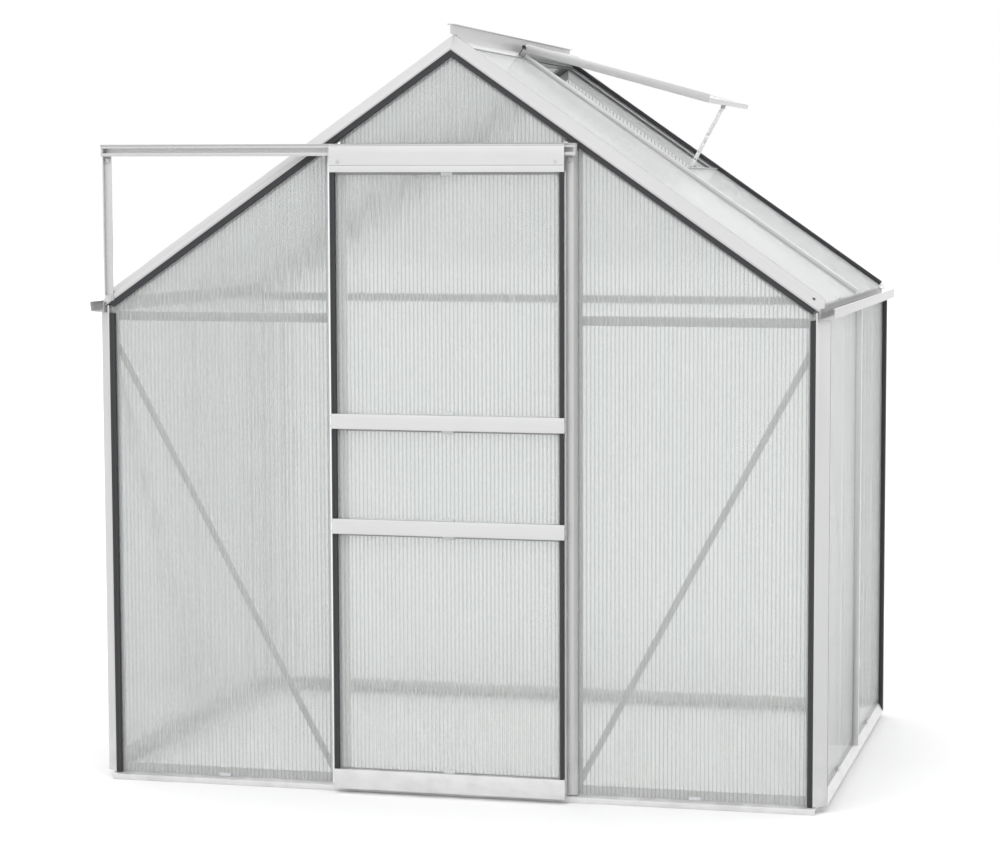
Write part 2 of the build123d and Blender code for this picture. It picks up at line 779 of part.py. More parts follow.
def axle(side):
    """Stud on the back of the top rail that carries a wheel."""
    y0, y1 = wheel_span()
    collar = axle_radius + axle_collar
    tip = (y1 + y_front - track_wall) / 2
    profile = [(0, door_y(0)), (collar, door_y(0)), (collar, y0 - side_gap), (axle_radius, y0 - side_gap),
               (axle_radius, y1 + side_gap), (collar, y1 + side_gap), (collar, tip), (0, tip)]
    return turned(profile, side * wheel_x, wheel_z)


def door_guide(side):
    """Nylon block behind the kick plate that runs along the front of the sill."""
    x = side * (door_half - guide_inset)
    return block((x - guide_length / 2, door_y(pane_inset), sill_lip_height - guide_lap),
                 (x + guide_length / 2, y_front - sill_projection - side_gap, door_foot + kick_height / 2))


def vent_ends():
    """Front and rear outer faces of the vent."""
    return y_mid - vent_over_bar, y_rear - vent_rear_margin


def vent_middle():
    """Middle of the vent along the house, where its stay hangs."""
    return sum(vent_ends()) / 2


def hinge_point():
    """The vent's hinge line, as x and z."""
    x, _, z = slope_point(RIGHT, hinge_down, -hinge_lift, 0)
    return x, z


def opened(shape):
    """A piece of the vent that is drawn shut, swung up to the pose that is modelled."""
    x, z = hinge_point()
    return shape.rotate(Axis((x, 0, z), (0, -1, 0)), vent_open)


def vent_foot():
    """The vent's lower edge, down the slope from the ridge when it is shut."""
    return hinge_down + vent_length


def vent_pane_sink():
    """Underside of the vent's pane, in the slope's own directions."""
    return -vent_clear - vent_pane_lift


def vent_top_bar():
    """Hook that turns on the ridge's bead, with the plate that covers the pane's top edge."""
    y0, y1 = vent_ends()
    y0, y1 = y0 + vent_wall, y1 - vent_wall
    inner = bead_radius + running_gap
    outer = inner + hook_wall
    start = slope_point(RIGHT, hinge_down, -hinge_lift, y0)
    stop = slope_point(RIGHT, hinge_down, -hinge_lift, y1)
    top = vent_pane_sink() - pane_thickness
    cover = rectangle(hinge_down + inner + hook_wall / 2, hinge_down + vent_head_lap, top - vent_plate, top)
    plate = slope_across(RIGHT, cover, y0, y1)
    mouth = [(hinge_down, -hinge_lift)]
    for angle in (-hook_gap_near, (hook_gap_far - hook_gap_near) / 2, hook_gap_far):
        reach = 2 * outer
        mouth.append((hinge_down - reach * sin(radians(angle)), -hinge_lift + reach * cos(radians(angle))))
    ring = cut(rod(start, stop, outer), rod(start, stop, inner), slope_across(RIGHT, mouth, y0 - 1, y1 + 1))
    return opened(join(ring, plate))


def vent_side_bar(end):
    """Side bar of the vent: a deep wall with a ledge under the pane."""
    y = vent_ends()[0] if end == FRONT else vent_ends()[1]
    low, high = -vent_clear, -vent_clear - (vent_depth if end == FRONT else vent_rear_depth)
    ledge = vent_pane_sink()
    tip = vent_wall + vent_ledge
    outline = [(0, high), (vent_wall, high), (vent_wall, ledge), (tip, ledge), (tip, ledge + vent_plate),
               (vent_wall, ledge + vent_plate), (vent_wall, low), (0, low)]
    section = [(y - end * a, b) for a, b in outline]
    start = hinge_down + bead_radius + running_gap + hook_wall + pane_gap
    return cut(opened(slope_along(RIGHT, section, start, vent_foot())), vent_bottom_bar())


def vent_bottom_bar():
    """Angle across the vent's lower edge, over the foot of the pane."""
    y0, y1 = vent_ends()
    foot = vent_foot()
    top = vent_pane_sink() - pane_thickness
    outline = [(foot - vent_lap, top - vent_plate), (foot, top - vent_plate), (foot, -vent_clear),
               (foot - vent_plate, -vent_clear), (foot - vent_plate, top), (foot - vent_lap, top)]
    return opened(slope_across(RIGHT, outline, y0 + vent_wall, y1 - vent_wall))


def vent_pane():
    """Pane of the vent, between its top and bottom bars."""
    y0, y1 = vent_ends()
    margin = vent_wall + pane_gap
    sink = vent_pane_sink()
    start = hinge_down + bead_radius + running_gap + hook_wall + pane_gap
    outline = rectangle(start, vent_foot() - vent_pane_stop, sink - pane_thickness, sink)
    return opened(slope_across(RIGHT, outline, y0 + margin, y1 - margin))


def stay_pivot():
    """Pivot of the vent stay in the pose that is modelled, as x and z."""
    hinge_x, hinge_z = hinge_point()
    lean = pitch - radians(vent_open)
    down = vent_length - stay_inset
    return (hinge_x + down * cos(lean) - stay_drop * sin(lean),
            hinge_z - down * sin(lean) - stay_drop * cos(lean))


def stay_foot():
    """Last hole of the vent stay in the pose that is modelled, as x and z."""
    x, z = stay_pivot()
    return x - arm_length * cos(radians(arm_lean)), z - arm_length * sin(radians(arm_lean))


def vent_lug():
    """Two ears under the vent's bottom bar and the pin between them."""
    middle = vent_middle()
    inner = arm_thickness / 2 + lug_gap
    outer = inner + lug_wall
    down = vent_foot() - stay_inset
    sink = stay_drop - hinge_lift
    top = vent_pane_sink() - pane_thickness
    outline = rectangle(down - lug_width / 2, down + lug_width / 2, top, sink + lug_width / 2)
    ears = [slope_across(RIGHT, outline, middle - outer, middle - inner),
            slope_across(RIGHT, outline, middle + inner, middle + outer)]
    pin = rod(slope_point(RIGHT, down, sink, middle - outer), slope_point(RIGHT, down, sink, middle + outer),
              pivot_radius)
    return opened(join(pin, *ears))


def vent_bolts():
    """Bolt heads under both ends of the vent's bottom bar."""
    y0, y1 = vent_ends()
    ledge = vent_pane_sink() + vent_plate
    out = slope_point(RIGHT, 0, 1, 0)
    normal = (out[0], 0, out[2] - ridge_height)
    heads = []
    for y in (y0 + vent_wall + vent_ledge / 2, y1 - vent_wall - vent_ledge / 2):
        heads.append(opened(bolt(slope_point(RIGHT, vent_foot() - vent_lap / 2, ledge, y), normal)))
    return heads


def vent_stay():
    """Flat arm with an eye on the vent's pin and a row of holes for the stud."""
    x, z = stay_pivot()
    y0 = vent_middle() - arm_thickness / 2
    y1 = y0 + arm_thickness
    foot_x, foot_z = stay_foot()
    dx, dz = (foot_x - x) / arm_length, (foot_z - z) / arm_length
    half = arm_width / 2
    outline = [(x + dz * half, z - dx * half), (foot_x + dz * half, foot_z - dx * half),
               (foot_x - dz * half, foot_z + dx * half), (x - dz * half, z + dx * half)]
    strap = prism([(a, y0, b) for a, b in outline], (0, arm_thickness, 0))
    eye = rod((x, y0, z), (x, y1, z), arm_eye_radius)
    arm = join(strap, eye, rod((foot_x, y0, foot_z), (foot_x, y1, foot_z), half))
    holes = [rod((x, y0 - 1, z), (x, y1 + 1, z), pivot_radius + running_gap)]
    for i in range(arm_hole_count):
        reach = arm_length - i * arm_hole_pitch
        px, pz = x + dx * reach, z + dz * reach
        holes.append(rod((px, y0 - 1, pz), (px, y1 + 1, pz), arm_hole_radius))
    return cut(arm, *holes)


def pieces():
    """Every piece of the greenhouse, under the name of its node."""
    (front_bay, rear_bay) = bays()
    reach = half_width - pane_margin
    jamb = door_post_x + door_post_face / 2
    top_reach = jamb - door_post_face - pane_gap
    tie_reach = half_width - face
    tie_line = tie_top - tie_height / 2
    nodes = {
        "front_sill": [gable_sill(FRONT)],
        "rear_sill": [gable_sill(REAR)],
        "left_sill": [side_sill(LEFT)],
        "right_sill": [side_sill(RIGHT)],
        "door_posts": [door_post(LEFT), door_post(RIGHT)],
        "door_header": [door_header()],
        "front_ties": [gable_tie(FRONT, -tie_reach, -jamb), gable_tie(FRONT, jamb, tie_reach)],
        "rear_tie": [gable_tie(REAR, -tie_reach, tie_reach)],
        "left_gutter": [gutter(LEFT)],
        "right_gutter": [gutter(RIGHT)],
        "ridge_bar": [ridge_bar()],
        "side_bars": [side_bar(LEFT), side_bar(RIGHT)],
        "roof_bars": [roof_bar(LEFT), roof_bar(RIGHT)],
        "wall_braces": braces(),
        "vent_sill": [vent_sill()],
        "door_track": [door_track()],
        "track_stops": track_stops(),
        "track_stay": [track_stay()],
        "front_left_pane": [gable_pane(FRONT, -reach, -jamb - pane_gap, sill_height, ridge_height)],
        "front_right_pane": [gable_pane(FRONT, jamb + pane_gap, reach, sill_height, ridge_height)],
        "front_top_pane": [gable_pane(FRONT, -top_reach, top_reach, header_base + bar_wall, ridge_height)],
        "rear_lower_pane": [gable_pane(REAR, -reach, reach, sill_height, tie_line - pane_gap)],
        "rear_upper_pane": [gable_pane(REAR, -reach, reach, tie_line, ridge_height)],
        "left_side_panes": [side_pane(LEFT, *bay) for bay in bays()],
        "right_side_panes": [side_pane(RIGHT, *bay) for bay in bays()],
        "left_roof_panes": [roof_pane(LEFT, *bay, roof_pane_head) for bay in bays()],
        "right_front_roof_pane": [roof_pane(RIGHT, *front_bay, roof_pane_head)],
        "right_lower_roof_pane": [roof_pane(RIGHT, *rear_bay, opening_length + bar_wall + pane_gap)],
        "glazing_seals": corner_seals(),
        "glazing_clips": frame_clips(),
        "frame_bolts": frame_bolts(),
        "door_top_rail": [door_top_rail()],
        "door_left_stile": [door_stile(LEFT)],
        "door_right_stile": [door_stile(RIGHT)],
        "door_upper_rail": [door_rail(upper_rail_base, mid_rail_height, door_webs()[2])],
        "door_lower_rail": [door_rail(lower_rail_base, mid_rail_height, door_webs()[1])],
        "door_kick_plate": [door_rail(door_foot, kick_height, door_webs()[0])],
        "door_lower_pane": [door_pane(0)],
        "door_middle_pane": [door_pane(1)],
        "door_upper_pane": [door_pane(2)],
        "door_seals": door_seals(),
        "door_clips": door_clips(),
        "door_guides": [door_guide(LEFT), door_guide(RIGHT)],
        "door_axles": [axle(LEFT), axle(RIGHT)],
        "left_wheel": [wheel(LEFT)],
        "right_wheel": [wheel(RIGHT)],
        "vent_top_bar": [vent_top_bar()],
        "vent_side_bars": [vent_side_bar(FRONT), vent_side_bar(REAR)],
        "vent_bottom_bar": [vent_bottom_bar()],
        "vent_pane": [vent_pane()],
        "vent_fittings": [vent_lug()] + vent_bolts(),
        "vent_stay": [vent_stay()],
    }
    for name in nodes:
        if name.startswith("door_") and name not in ("door_posts", "door_header", "door_track") or "wheel" in name:
            nodes[name] = [solid.moved(Location((door_shift, 0, 0))) for solid in nodes[name]]
    for side, side_name in ((LEFT, "left"), (RIGHT, "right")):
        for end, end_name in ((FRONT, "front"), (REAR, "rear")):
            nodes[f"{end_name}_{side_name}_post"] = [corner_post(side, end)]
            nodes[f"{end_name}_{side_name}_rafter"] = [gable_rafter(side, end)]
    return nodes


os.makedirs("parts", exist_ok=True)
for node_name, solids in pieces().items():
    shape = solids[0] if len(solids) == 1 else Compound(children=solids)
    export_step(shape, f"parts/{node_name}.step")
print("front plane", y_front, "rear plane", y_rear, "pitch", degrees(pitch))
print("vent hinge", hinge_point(), "stay pivot", stay_pivot(), "stay foot", stay_foot())
print("wheel centres", door_shift, "+-", wheel_x, y_front - track_depth / 2, wheel_z)
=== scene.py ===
import json
import logging
import math
from contextlib import contextmanager
from dataclasses import dataclass
from enum import Enum, IntEnum
from typing import Callable, Iterator, Sequence

import bpy
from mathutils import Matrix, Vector

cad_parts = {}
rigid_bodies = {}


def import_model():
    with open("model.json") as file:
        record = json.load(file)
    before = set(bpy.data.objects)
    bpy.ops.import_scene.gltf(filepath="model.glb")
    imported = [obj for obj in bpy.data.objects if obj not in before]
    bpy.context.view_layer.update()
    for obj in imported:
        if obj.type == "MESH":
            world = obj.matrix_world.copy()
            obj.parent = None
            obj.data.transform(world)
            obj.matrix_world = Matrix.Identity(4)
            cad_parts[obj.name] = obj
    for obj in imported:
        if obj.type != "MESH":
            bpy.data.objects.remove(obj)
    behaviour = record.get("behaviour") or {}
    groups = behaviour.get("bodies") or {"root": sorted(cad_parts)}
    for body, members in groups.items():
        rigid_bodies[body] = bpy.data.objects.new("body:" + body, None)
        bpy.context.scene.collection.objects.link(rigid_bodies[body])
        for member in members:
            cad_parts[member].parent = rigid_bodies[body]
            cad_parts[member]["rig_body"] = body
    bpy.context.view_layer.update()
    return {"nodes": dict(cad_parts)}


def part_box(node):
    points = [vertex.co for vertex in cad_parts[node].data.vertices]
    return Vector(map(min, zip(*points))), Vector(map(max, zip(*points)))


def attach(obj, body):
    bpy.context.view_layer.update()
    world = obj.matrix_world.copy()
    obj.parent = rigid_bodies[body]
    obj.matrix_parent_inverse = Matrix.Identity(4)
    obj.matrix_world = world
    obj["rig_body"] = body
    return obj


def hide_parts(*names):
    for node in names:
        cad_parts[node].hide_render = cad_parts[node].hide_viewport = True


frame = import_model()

LOG = logging.getLogger("greenhouse")
Place = tuple[float, float, float]
Color = tuple[float, float, float, float]
Span = tuple[float, float]
Names = tuple[str, ...]
Corners = tuple[Sequence[float], Sequence[float]]
Seat = tuple[Place, Place]
Grain = tuple[float, float, float]  # a noise pattern's scale, detail and roughness
Piece = bpy.types.Object
Material = bpy.types.Material
Node = bpy.types.Node
Outputs = bpy.types.NodeOutputs
Socket = bpy.types.NodeSocket
Tree = bpy.types.NodeTree
Inputs = dict[str | int, object]
Sockets = dict[str, Socket]


class Side(IntEnum):
    """The two sides of the house, as the sign of X."""

    LEFT = -1
    RIGHT = 1


@dataclass(frozen=True)
class HouseSizes:
    """Main planes and lines of the house, as the solids have them."""

    half_width: float = 0.950
    front: float = -0.6335
    rear: float = 0.6585
    eave: float = 1.263
    ridge: float = 1.923
    pane_inset: float = 0.012
    pane_thickness: float = 0.004
    bar_face: float = 0.032
    pane_gap: float = 0.001
    hair: float = 0.0005
    door_half: float = 0.303
    door_shift: float = -0.0055
    door_front: float = -0.6665
    track_foot: float = 1.622093
    track_height: float = 0.030
    track_depth: float = 0.024
    vent_open: float = math.radians(19.4)
    stay_lean: float = math.radians(61.4)
    flute_pitch: float = 0.0104

    @property
    def pitch(self) -> float:
        """Slope of the roof in radians."""
        return math.atan2(self.ridge - self.eave, self.half_width)

    @property
    def middle(self) -> float:
        """Middle of the house from front to rear."""
        return (self.front + self.rear) / 2

    def on_slope(self, side: Side, sink: float) -> Vector:
        """Gives the point at a depth below the ridge, square to a roof slope."""
        return Vector((-side * sink * math.sin(self.pitch), 0.0, self.ridge - sink * math.cos(self.pitch)))

    def slope_normal(self, side: Side) -> Vector:
        """Gives the outward direction of a roof slope."""
        return Vector((side * math.sin(self.pitch), 0.0, math.cos(self.pitch)))

    def is_inside(self, point: Vector) -> bool:
        """Tells whether a point lies behind the panes, inside the house.

        Args:
            point: the point in the house's frame.

        Returns:
            True when it is inside.
        """
        deep = self.pane_inset + self.pane_thickness - self.hair
        sink = (self.ridge - point.z) * math.cos(self.pitch) - abs(point.x) * math.sin(self.pitch)
        return (abs(point.x) < self.half_width - deep and sink > deep
                and self.front + deep < point.y < self.rear - deep)


HOUSE = HouseSizes()


class Axis(IntEnum):
    """The axes of the house's frame."""

    X = 0
    Y = 1
    Z = 2


class Slot(Enum):
    """The record's material slots."""

    SHEET = "twin_wall_sheet"
    BAR = "silver_bar"
    SEAL = "black_seal"
    STEEL = "steel"
    NYLON = "nylon"


class Run(Enum):
    """The way that a bar's die lines or a sheet's flutes run.

    Each value is the turn that lays the run along X, and a sheet's width along Y, as Euler angles. The sheets of
    a gable are upright and face -Y.
    """

    ALONG_X = (0.0, 0.0, 0.0)
    ALONG_Y = (0.0, 0.0, -math.pi / 2)
    UPRIGHT = (0.0, math.pi / 2, 0.0)
    GABLE = (math.pi / 2, 0.0, math.pi / 2)
    STAY = (0.0, HOUSE.stay_lean, 0.0)
    RIGHT_SLOPE = (0.0, -HOUSE.pitch, 0.0)
    LEFT_SLOPE = (0.0, HOUSE.pitch, 0.0)
    VENT_SLOPE = (0.0, HOUSE.vent_open - HOUSE.pitch, 0.0)


@dataclass
class Wiring:
    """A node tree, with short ways to add the nodes that the finishes use."""

    tree: Tree

    def fill(self, node: Node, inputs: Inputs) -> None:
        """Fills a node's inputs.

        Args:
            node: the node to fill.
            inputs: a value or an output socket for each input.
        """
        for key, value in inputs.items():
            if isinstance(value, Socket):
                self.tree.links.new(value, node.inputs[key])
            else:
                node.inputs[key].default_value = value

    def add(self, kind: str, inputs: Inputs | None = None, **settings: object) -> Node:
        """Adds a node.

        Args:
            kind: Blender's name for the node type.
            inputs: a value or an output socket for each input that is set.
            **settings: properties of the node itself.

        Returns:
            The new node.
        """
        node = self.tree.nodes.new(kind)
        for key, value in settings.items():
            setattr(node, key, value)
        self.fill(node, inputs or {})
        return node

    def place(self, turn: Place = (0.0, 0.0, 0.0)) -> Socket:
        """Gives object coordinates, turned so that a pattern lies along its piece."""
        place = self.add("ShaderNodeTexCoord").outputs["Object"]
        return self.add("ShaderNodeMapping", {"Vector": place, "Rotation": turn}).outputs["Vector"]

    def axis(self, vector: Socket, name: str) -> Socket:
        """Gives one coordinate of a vector."""
        return self.add("ShaderNodeSeparateXYZ", {"Vector": vector}).outputs[name]

    def stretch(self, vector: Socket, by: Place) -> Socket:
        """Scales coordinates along each axis."""
        return self.add("ShaderNodeVectorMath", {0: vector, 1: by}, operation="MULTIPLY").outputs[0]

    def noise(self, vector: Socket, scale: float | Socket, detail: float = 2.0, rough: float = 0.5) -> Socket:
        """Gives the value of a noise pattern."""
        return self.add("ShaderNodeTexNoise", {"Vector": vector, "Scale": scale, "Detail": detail,
                                               "Roughness": rough}).outputs["Fac"]

    def maths(self, operation: str, *values: float | Socket, clamp: bool = False) -> Socket:
        """Gives the result of an operation on values or sockets."""
        return self.add("ShaderNodeMath", dict(enumerate(values)), operation=operation, use_clamp=clamp).outputs[0]

    def remap(self, value: Socket, low: float | Socket, high: float | Socket, start: float = 0.0,
              stop: float | Socket = 1.0) -> Socket:
        """Maps the span from start to stop onto the one from low to high, and holds it there."""
        return self.add("ShaderNodeMapRange", {"Value": value, "From Min": start, "From Max": stop, "To Min": low,
                                               "To Max": high}).outputs["Result"]

    def blend(self, factor: Socket, first: Color | Socket, second: Color | Socket) -> Socket:
        """Mixes two colours."""
        return self.add("ShaderNodeMix", {"Factor": factor, "A": first, "B": second},
                        data_type="RGBA").outputs["Result"]

    def bump(self, height: Socket, distance: float, strength: float = 1.0) -> Socket:
        """Gives the normal of a fine relief."""
        return self.add("ShaderNodeBump", {"Height": height, "Distance": distance,
                                           "Strength": strength}).outputs["Normal"]


class NodeGroupMaker:
    """Base of the shared effects: each builds its shader node group once."""

    name: str = ""
    takes: dict[str, str] = {}
    gives: dict[str, str] = {}

    def group(self) -> Tree:
        """Makes the group on first use.

        Returns:
            The group.
        """
        known = bpy.data.node_groups.get(self.name)
        if known:
            return known
        tree = bpy.data.node_groups.new(self.name, "ShaderNodeTree")
        for direction, sockets in (("INPUT", self.takes), ("OUTPUT", self.gives)):
            for label, kind in sockets.items():
                tree.interface.new_socket(name=label, in_out=direction, socket_type="NodeSocket" + kind)
        source, target = tree.nodes.new("NodeGroupInput"), tree.nodes.new("NodeGroupOutput")
        wiring = Wiring(tree)
        wiring.fill(target, self.effect(wiring, source.outputs))
        return tree

    def effect(self, wiring: Wiring, given: Outputs) -> Sockets:
        """Wires the effect and gives its outputs by name."""
        raise NotImplementedError

    def place(self, wiring: Wiring, **inputs: object) -> Outputs:
        """Puts the group into a material, with values or sockets for its inputs, and gives its outputs."""
        return wiring.add("ShaderNodeGroup", inputs, node_tree=self.group()).outputs


# The sockets that the effects share.
TONES = {"Vector": "Vector", "Light": "Color", "Dark": "Color"}
SURFACE = {"Color": "Color", "Roughness": "Float", "Height": "Float"}


class DieLines(NodeGroupMaker):
    """Fine lines that the die leaves along an extruded bar, with a cloudy tone."""

    name = "die_lines"
    takes = TONES
    gives = SURFACE
    line_stretch: Place = (2.0, 620.0, 620.0)
    line_grain: Grain = (1.0, 3.0, 0.6)
    cloud_grain: Grain = (7.0, 4.0, 0.55)
    speck_grain: Grain = (900.0, 1.0, 0.5)
    line_share: float = 0.35
    cloud_share: float = 0.55
    base_share: float = 0.1
    speck_share: float = 0.3
    rough: Span = (0.30, 0.52)

    def effect(self, wiring: Wiring, given: Outputs) -> Sockets:
        """Wires stretched noise for the lines and broad noise for the tone.

        Args:
            wiring: the group's nodes.
            given: outputs of the group's input node.

        Returns:
            A socket for each of the group's outputs.
        """
        lines = wiring.noise(wiring.stretch(given["Vector"], self.line_stretch), *self.line_grain)
        cloud = wiring.noise(given["Vector"], *self.cloud_grain)
        speck = wiring.noise(given["Vector"], *self.speck_grain)
        tone = wiring.maths("MULTIPLY_ADD", cloud, self.cloud_share, self.base_share)
        tone = wiring.maths("MULTIPLY_ADD", lines, self.line_share, tone)
        return {"Color": wiring.blend(tone, given["Dark"], given["Light"]),
                "Roughness": wiring.remap(lines, *self.rough),
                "Height": wiring.maths("MULTIPLY_ADD", speck, self.speck_share, lines)}


class SettledDust(NodeGroupMaker):
    """Dust that settles near the ground, as a mask."""

    name = "settled_dust"
    takes = {"Vector": "Vector", "Reach": "Float", "Amount": "Float"}
    gives = {"Mask": "Float"}
    patch_grain: Grain = (24.0, 5.0, 0.65)
    patch_span: Span = (0.35, 0.75)

    def effect(self, wiring: Wiring, given: Outputs) -> Sockets:
        """Wires a fall-off with height, broken up by noise.

        Args:
            wiring: the group's nodes.
            given: outputs of the group's input node.

        Returns:
            A socket for each of the group's outputs.
        """
        fall = wiring.remap(wiring.axis(given["Vector"], "Z"), 1.0, 0.0, 0.0, given["Reach"])
        patch = wiring.remap(wiring.noise(given["Vector"], *self.patch_grain), 0.0, 1.0, *self.patch_span)
        return {"Mask": wiring.maths("MULTIPLY", wiring.maths("MULTIPLY", fall, patch), given["Amount"])}


class MouldSpeckle(NodeGroupMaker):
    """Fine grain of a moulded or rolled surface, as tone, roughness and height."""

    name = "mould_speckle"
    takes = TONES | {"Grain": "Float"}
    gives = SURFACE
    fine_detail: float = 2.0
    fine_rough: float = 0.7
    broad_grain: Grain = (14.0, 3.0, 0.5)
    tone_span: Span = (0.1, 0.45)
    rough: Span = (0.48, 0.78)

    def effect(self, wiring: Wiring, given: Outputs) -> Sockets:
        """Wires fine noise over a broad one.

        Args:
            wiring: the group's nodes.
            given: outputs of the group's input node.

        Returns:
            A socket for each of the group's outputs.
        """
        fine = wiring.noise(given["Vector"], given["Grain"], self.fine_detail, self.fine_rough)
        broad = wiring.noise(given["Vector"], *self.broad_grain)
        spread = wiring.remap(wiring.maths("MULTIPLY", fine, broad), 0.0, 1.0, *self.tone_span)
        return {"Color": wiring.blend(spread, given["Dark"], given["Light"]),
                "Roughness": wiring.remap(broad, *self.rough), "Height": fine}


class FluteWaves(NodeGroupMaker):
    """Small waves and painted shade bands of a drawn skin, darker over each rib: they run with the flutes and spread
    light across them.
    """

    name = "flute_waves"
    takes = TONES
    gives = SURFACE
    wave_stretch: Place = (0.12, 430.0, 430.0)
    wave_grain: Grain = (1.0, 1.0, 0.5)
    streak_stretch: Place = (0.7, 34.0, 34.0)
    streak_grain: Grain = (1.0, 3.0, 0.6)
    streak_span: Span = (0.3, 0.7)
    streak_share: float = 0.2
    rib_shade_share: float = 0.8
    rough: Span = (0.04, 0.10)

    def effect(self, wiring: Wiring, given: Outputs) -> Sockets:
        """Wires fine waves for the height, and painted shade over the ribs with broad streaks for the tone.

        Args:
            wiring: the group's nodes.
            given: outputs of the group's input node.

        Returns:
            A socket for each of the group's outputs.
        """
        waves = wiring.noise(wiring.stretch(given["Vector"], self.wave_stretch), *self.wave_grain)
        streak = wiring.noise(wiring.stretch(given["Vector"], self.streak_stretch), *self.streak_grain)
        spread = wiring.remap(streak, 0.0, 1.0, *self.streak_span)
        # painted shade: the tone is darkest over each rib, on the flutes' pitch
        phase = wiring.maths("MULTIPLY", wiring.axis(given["Vector"], "Y"), 2 * math.pi / HOUSE.flute_pitch)
        rib_shade = wiring.remap(wiring.maths("COSINE", phase), self.rib_shade_share, 0.0, -1.0)
        tone = wiring.maths("MULTIPLY_ADD", spread, self.streak_share, rib_shade)
        return {"Color": wiring.blend(tone, given["Dark"], given["Light"]),
                "Roughness": wiring.remap(streak, *self.rough), "Height": waves}


class Finish:
    """Base of the finishes: each makes its material once."""

    name: str

    def label(self) -> str:
        """Gives the material's name."""
        return self.name

    def wire(self, wiring: Wiring, shader: Node) -> None:
        """Wires the finish into the material's Principled shader."""
        raise NotImplementedError

    def material(self) -> Material:
        """Makes the material on first use.

        Returns:
            The material.
        """
        known = bpy.data.materials.get(self.label())
        if known:
            return known
        material = bpy.data.materials.new(self.label())
        material.use_nodes = True
        self.wire(Wiring(material.node_tree), material.node_tree.nodes["Principled BSDF"])
        return material


class Skin(Enum):
    """The tones of the one bar finish, each a light and a dark tone: BRIGHT is the bars' own tone, and the others are
    lighter and darker copies of it, painted light on faces that lie in shade and painted shade on bars and faces that
    get less light, down to painted shadow in open ends.
    """

    # painted light: a much lighter copy for faces in shade, on the vent stay, the rear right rafter's inner faces, the
    # door track's channel and the left door post's front
    POLISHED = (0.94, 0.87)
    BRIGHT = (0.66, 0.58)
    # painted shade: a step darker than BRIGHT, for the door posts, track, track stay, ridge bar, vent bars, gutters
    # and corner posts
    PLAIN = (0.59, 0.51)
    # painted shade: darker still, on the rafters, to damp the sun's sheen on their slope
    SOFT = (0.53, 0.46)
    # painted shade for faces in shade: inside the house, on groove floors and on the gutters' fronts and the eave
    # strips
    DULL = (0.47, 0.37)
    # painted shadow in the open ends of the vent's top bar and the ridge bar's bead
    DARK = (0.05, 0.03)


@dataclass(frozen=True)
class SatinAluminium(Finish):
    """Pale anodised bar, with die lines along it and a little pale dust near the ground."""

    run: Run
    skin: Skin
    cool: float = 0.002
    dust: Color = (0.92, 0.92, 0.91, 1.0)
    dust_reach: float = 0.22
    dust_amount: float = 0.55
    relief: float = 0.00004
    relief_strength: float = 0.6
    metal: float = 0.55

    def label(self) -> str:
        """Gives the material's name."""
        return f"satin_aluminium_{self.skin.name.lower()}_{self.run.name.lower()}"

    def wire(self, wiring: Wiring, shader: Node) -> None:
        """Wires the die lines and the dust over them.

        Args:
            wiring: the material's nodes.
            shader: its Principled shader.
        """
        # the skin's light and dark tone, which for every skin but BRIGHT holds painted light or painted shade
        light, dark = self.skin.value
        lines = DieLines().place(wiring, Vector=wiring.place(self.run.value), Light=(light, light, light, 1.0),
                                 Dark=(dark, dark, dark + self.cool, 1.0))
        dust = SettledDust().place(wiring, Vector=wiring.place(), Reach=self.dust_reach,
                                   Amount=self.dust_amount)["Mask"]
        wiring.fill(shader, {"Base Color": wiring.blend(dust, lines["Color"], self.dust),
                             "Roughness": wiring.maths("ADD", dust, lines["Roughness"], clamp=True),
                             "Normal": wiring.bump(lines["Height"], self.relief, self.relief_strength),
                             "Metallic": self.metal})


@dataclass(frozen=True)
class Speckled(Finish):
    """Rubber, nylon or plated steel: a grained surface of two near tones."""

    name: str
    light: Color
    dark: Color
    grain: float
    metallic: float
    relief: float
    gloss: float = 0.5
    relief_strength: float = 0.7

    def wire(self, wiring: Wiring, shader: Node) -> None:
        """Wires the grain.

        Args:
            wiring: the material's nodes.
            shader: its Principled shader.
        """
        speckle = MouldSpeckle().place(wiring, Vector=wiring.place(), Light=self.light, Dark=self.dark,
                                       Grain=self.grain)
        wiring.fill(shader, {"Base Color": speckle["Color"], "Roughness": speckle["Roughness"],
                             "Normal": wiring.bump(speckle["Height"], self.relief, self.relief_strength),
                             "Metallic": self.metallic, "Specular IOR Level": self.gloss})


BLACK_SEAL = Speckled("black_seal", (0.013, 0.013, 0.014, 1.0), (0.006, 0.006, 0.007, 1.0), 700.0, 0.0, 0.0001, 0.05)
GREY_SEAL = Speckled("grey_seal", (0.34, 0.34, 0.34, 1.0), (0.26, 0.26, 0.265, 1.0), 700.0, 0.0, 0.0001, 0.12)
GREY_NYLON = Speckled("grey_nylon", (0.56, 0.56, 0.55, 1.0), (0.46, 0.46, 0.45, 1.0), 500.0, 0.0, 0.0001)
NYLON = Speckled("nylon", (0.80, 0.80, 0.78, 1.0), (0.66, 0.66, 0.64, 1.0), 500.0, 0.0, 0.0001)
ZINC_STEEL = Speckled("zinc_steel", (0.66, 0.67, 0.68, 1.0), (0.46, 0.47, 0.48, 1.0), 320.0, 0.9, 0.00006)


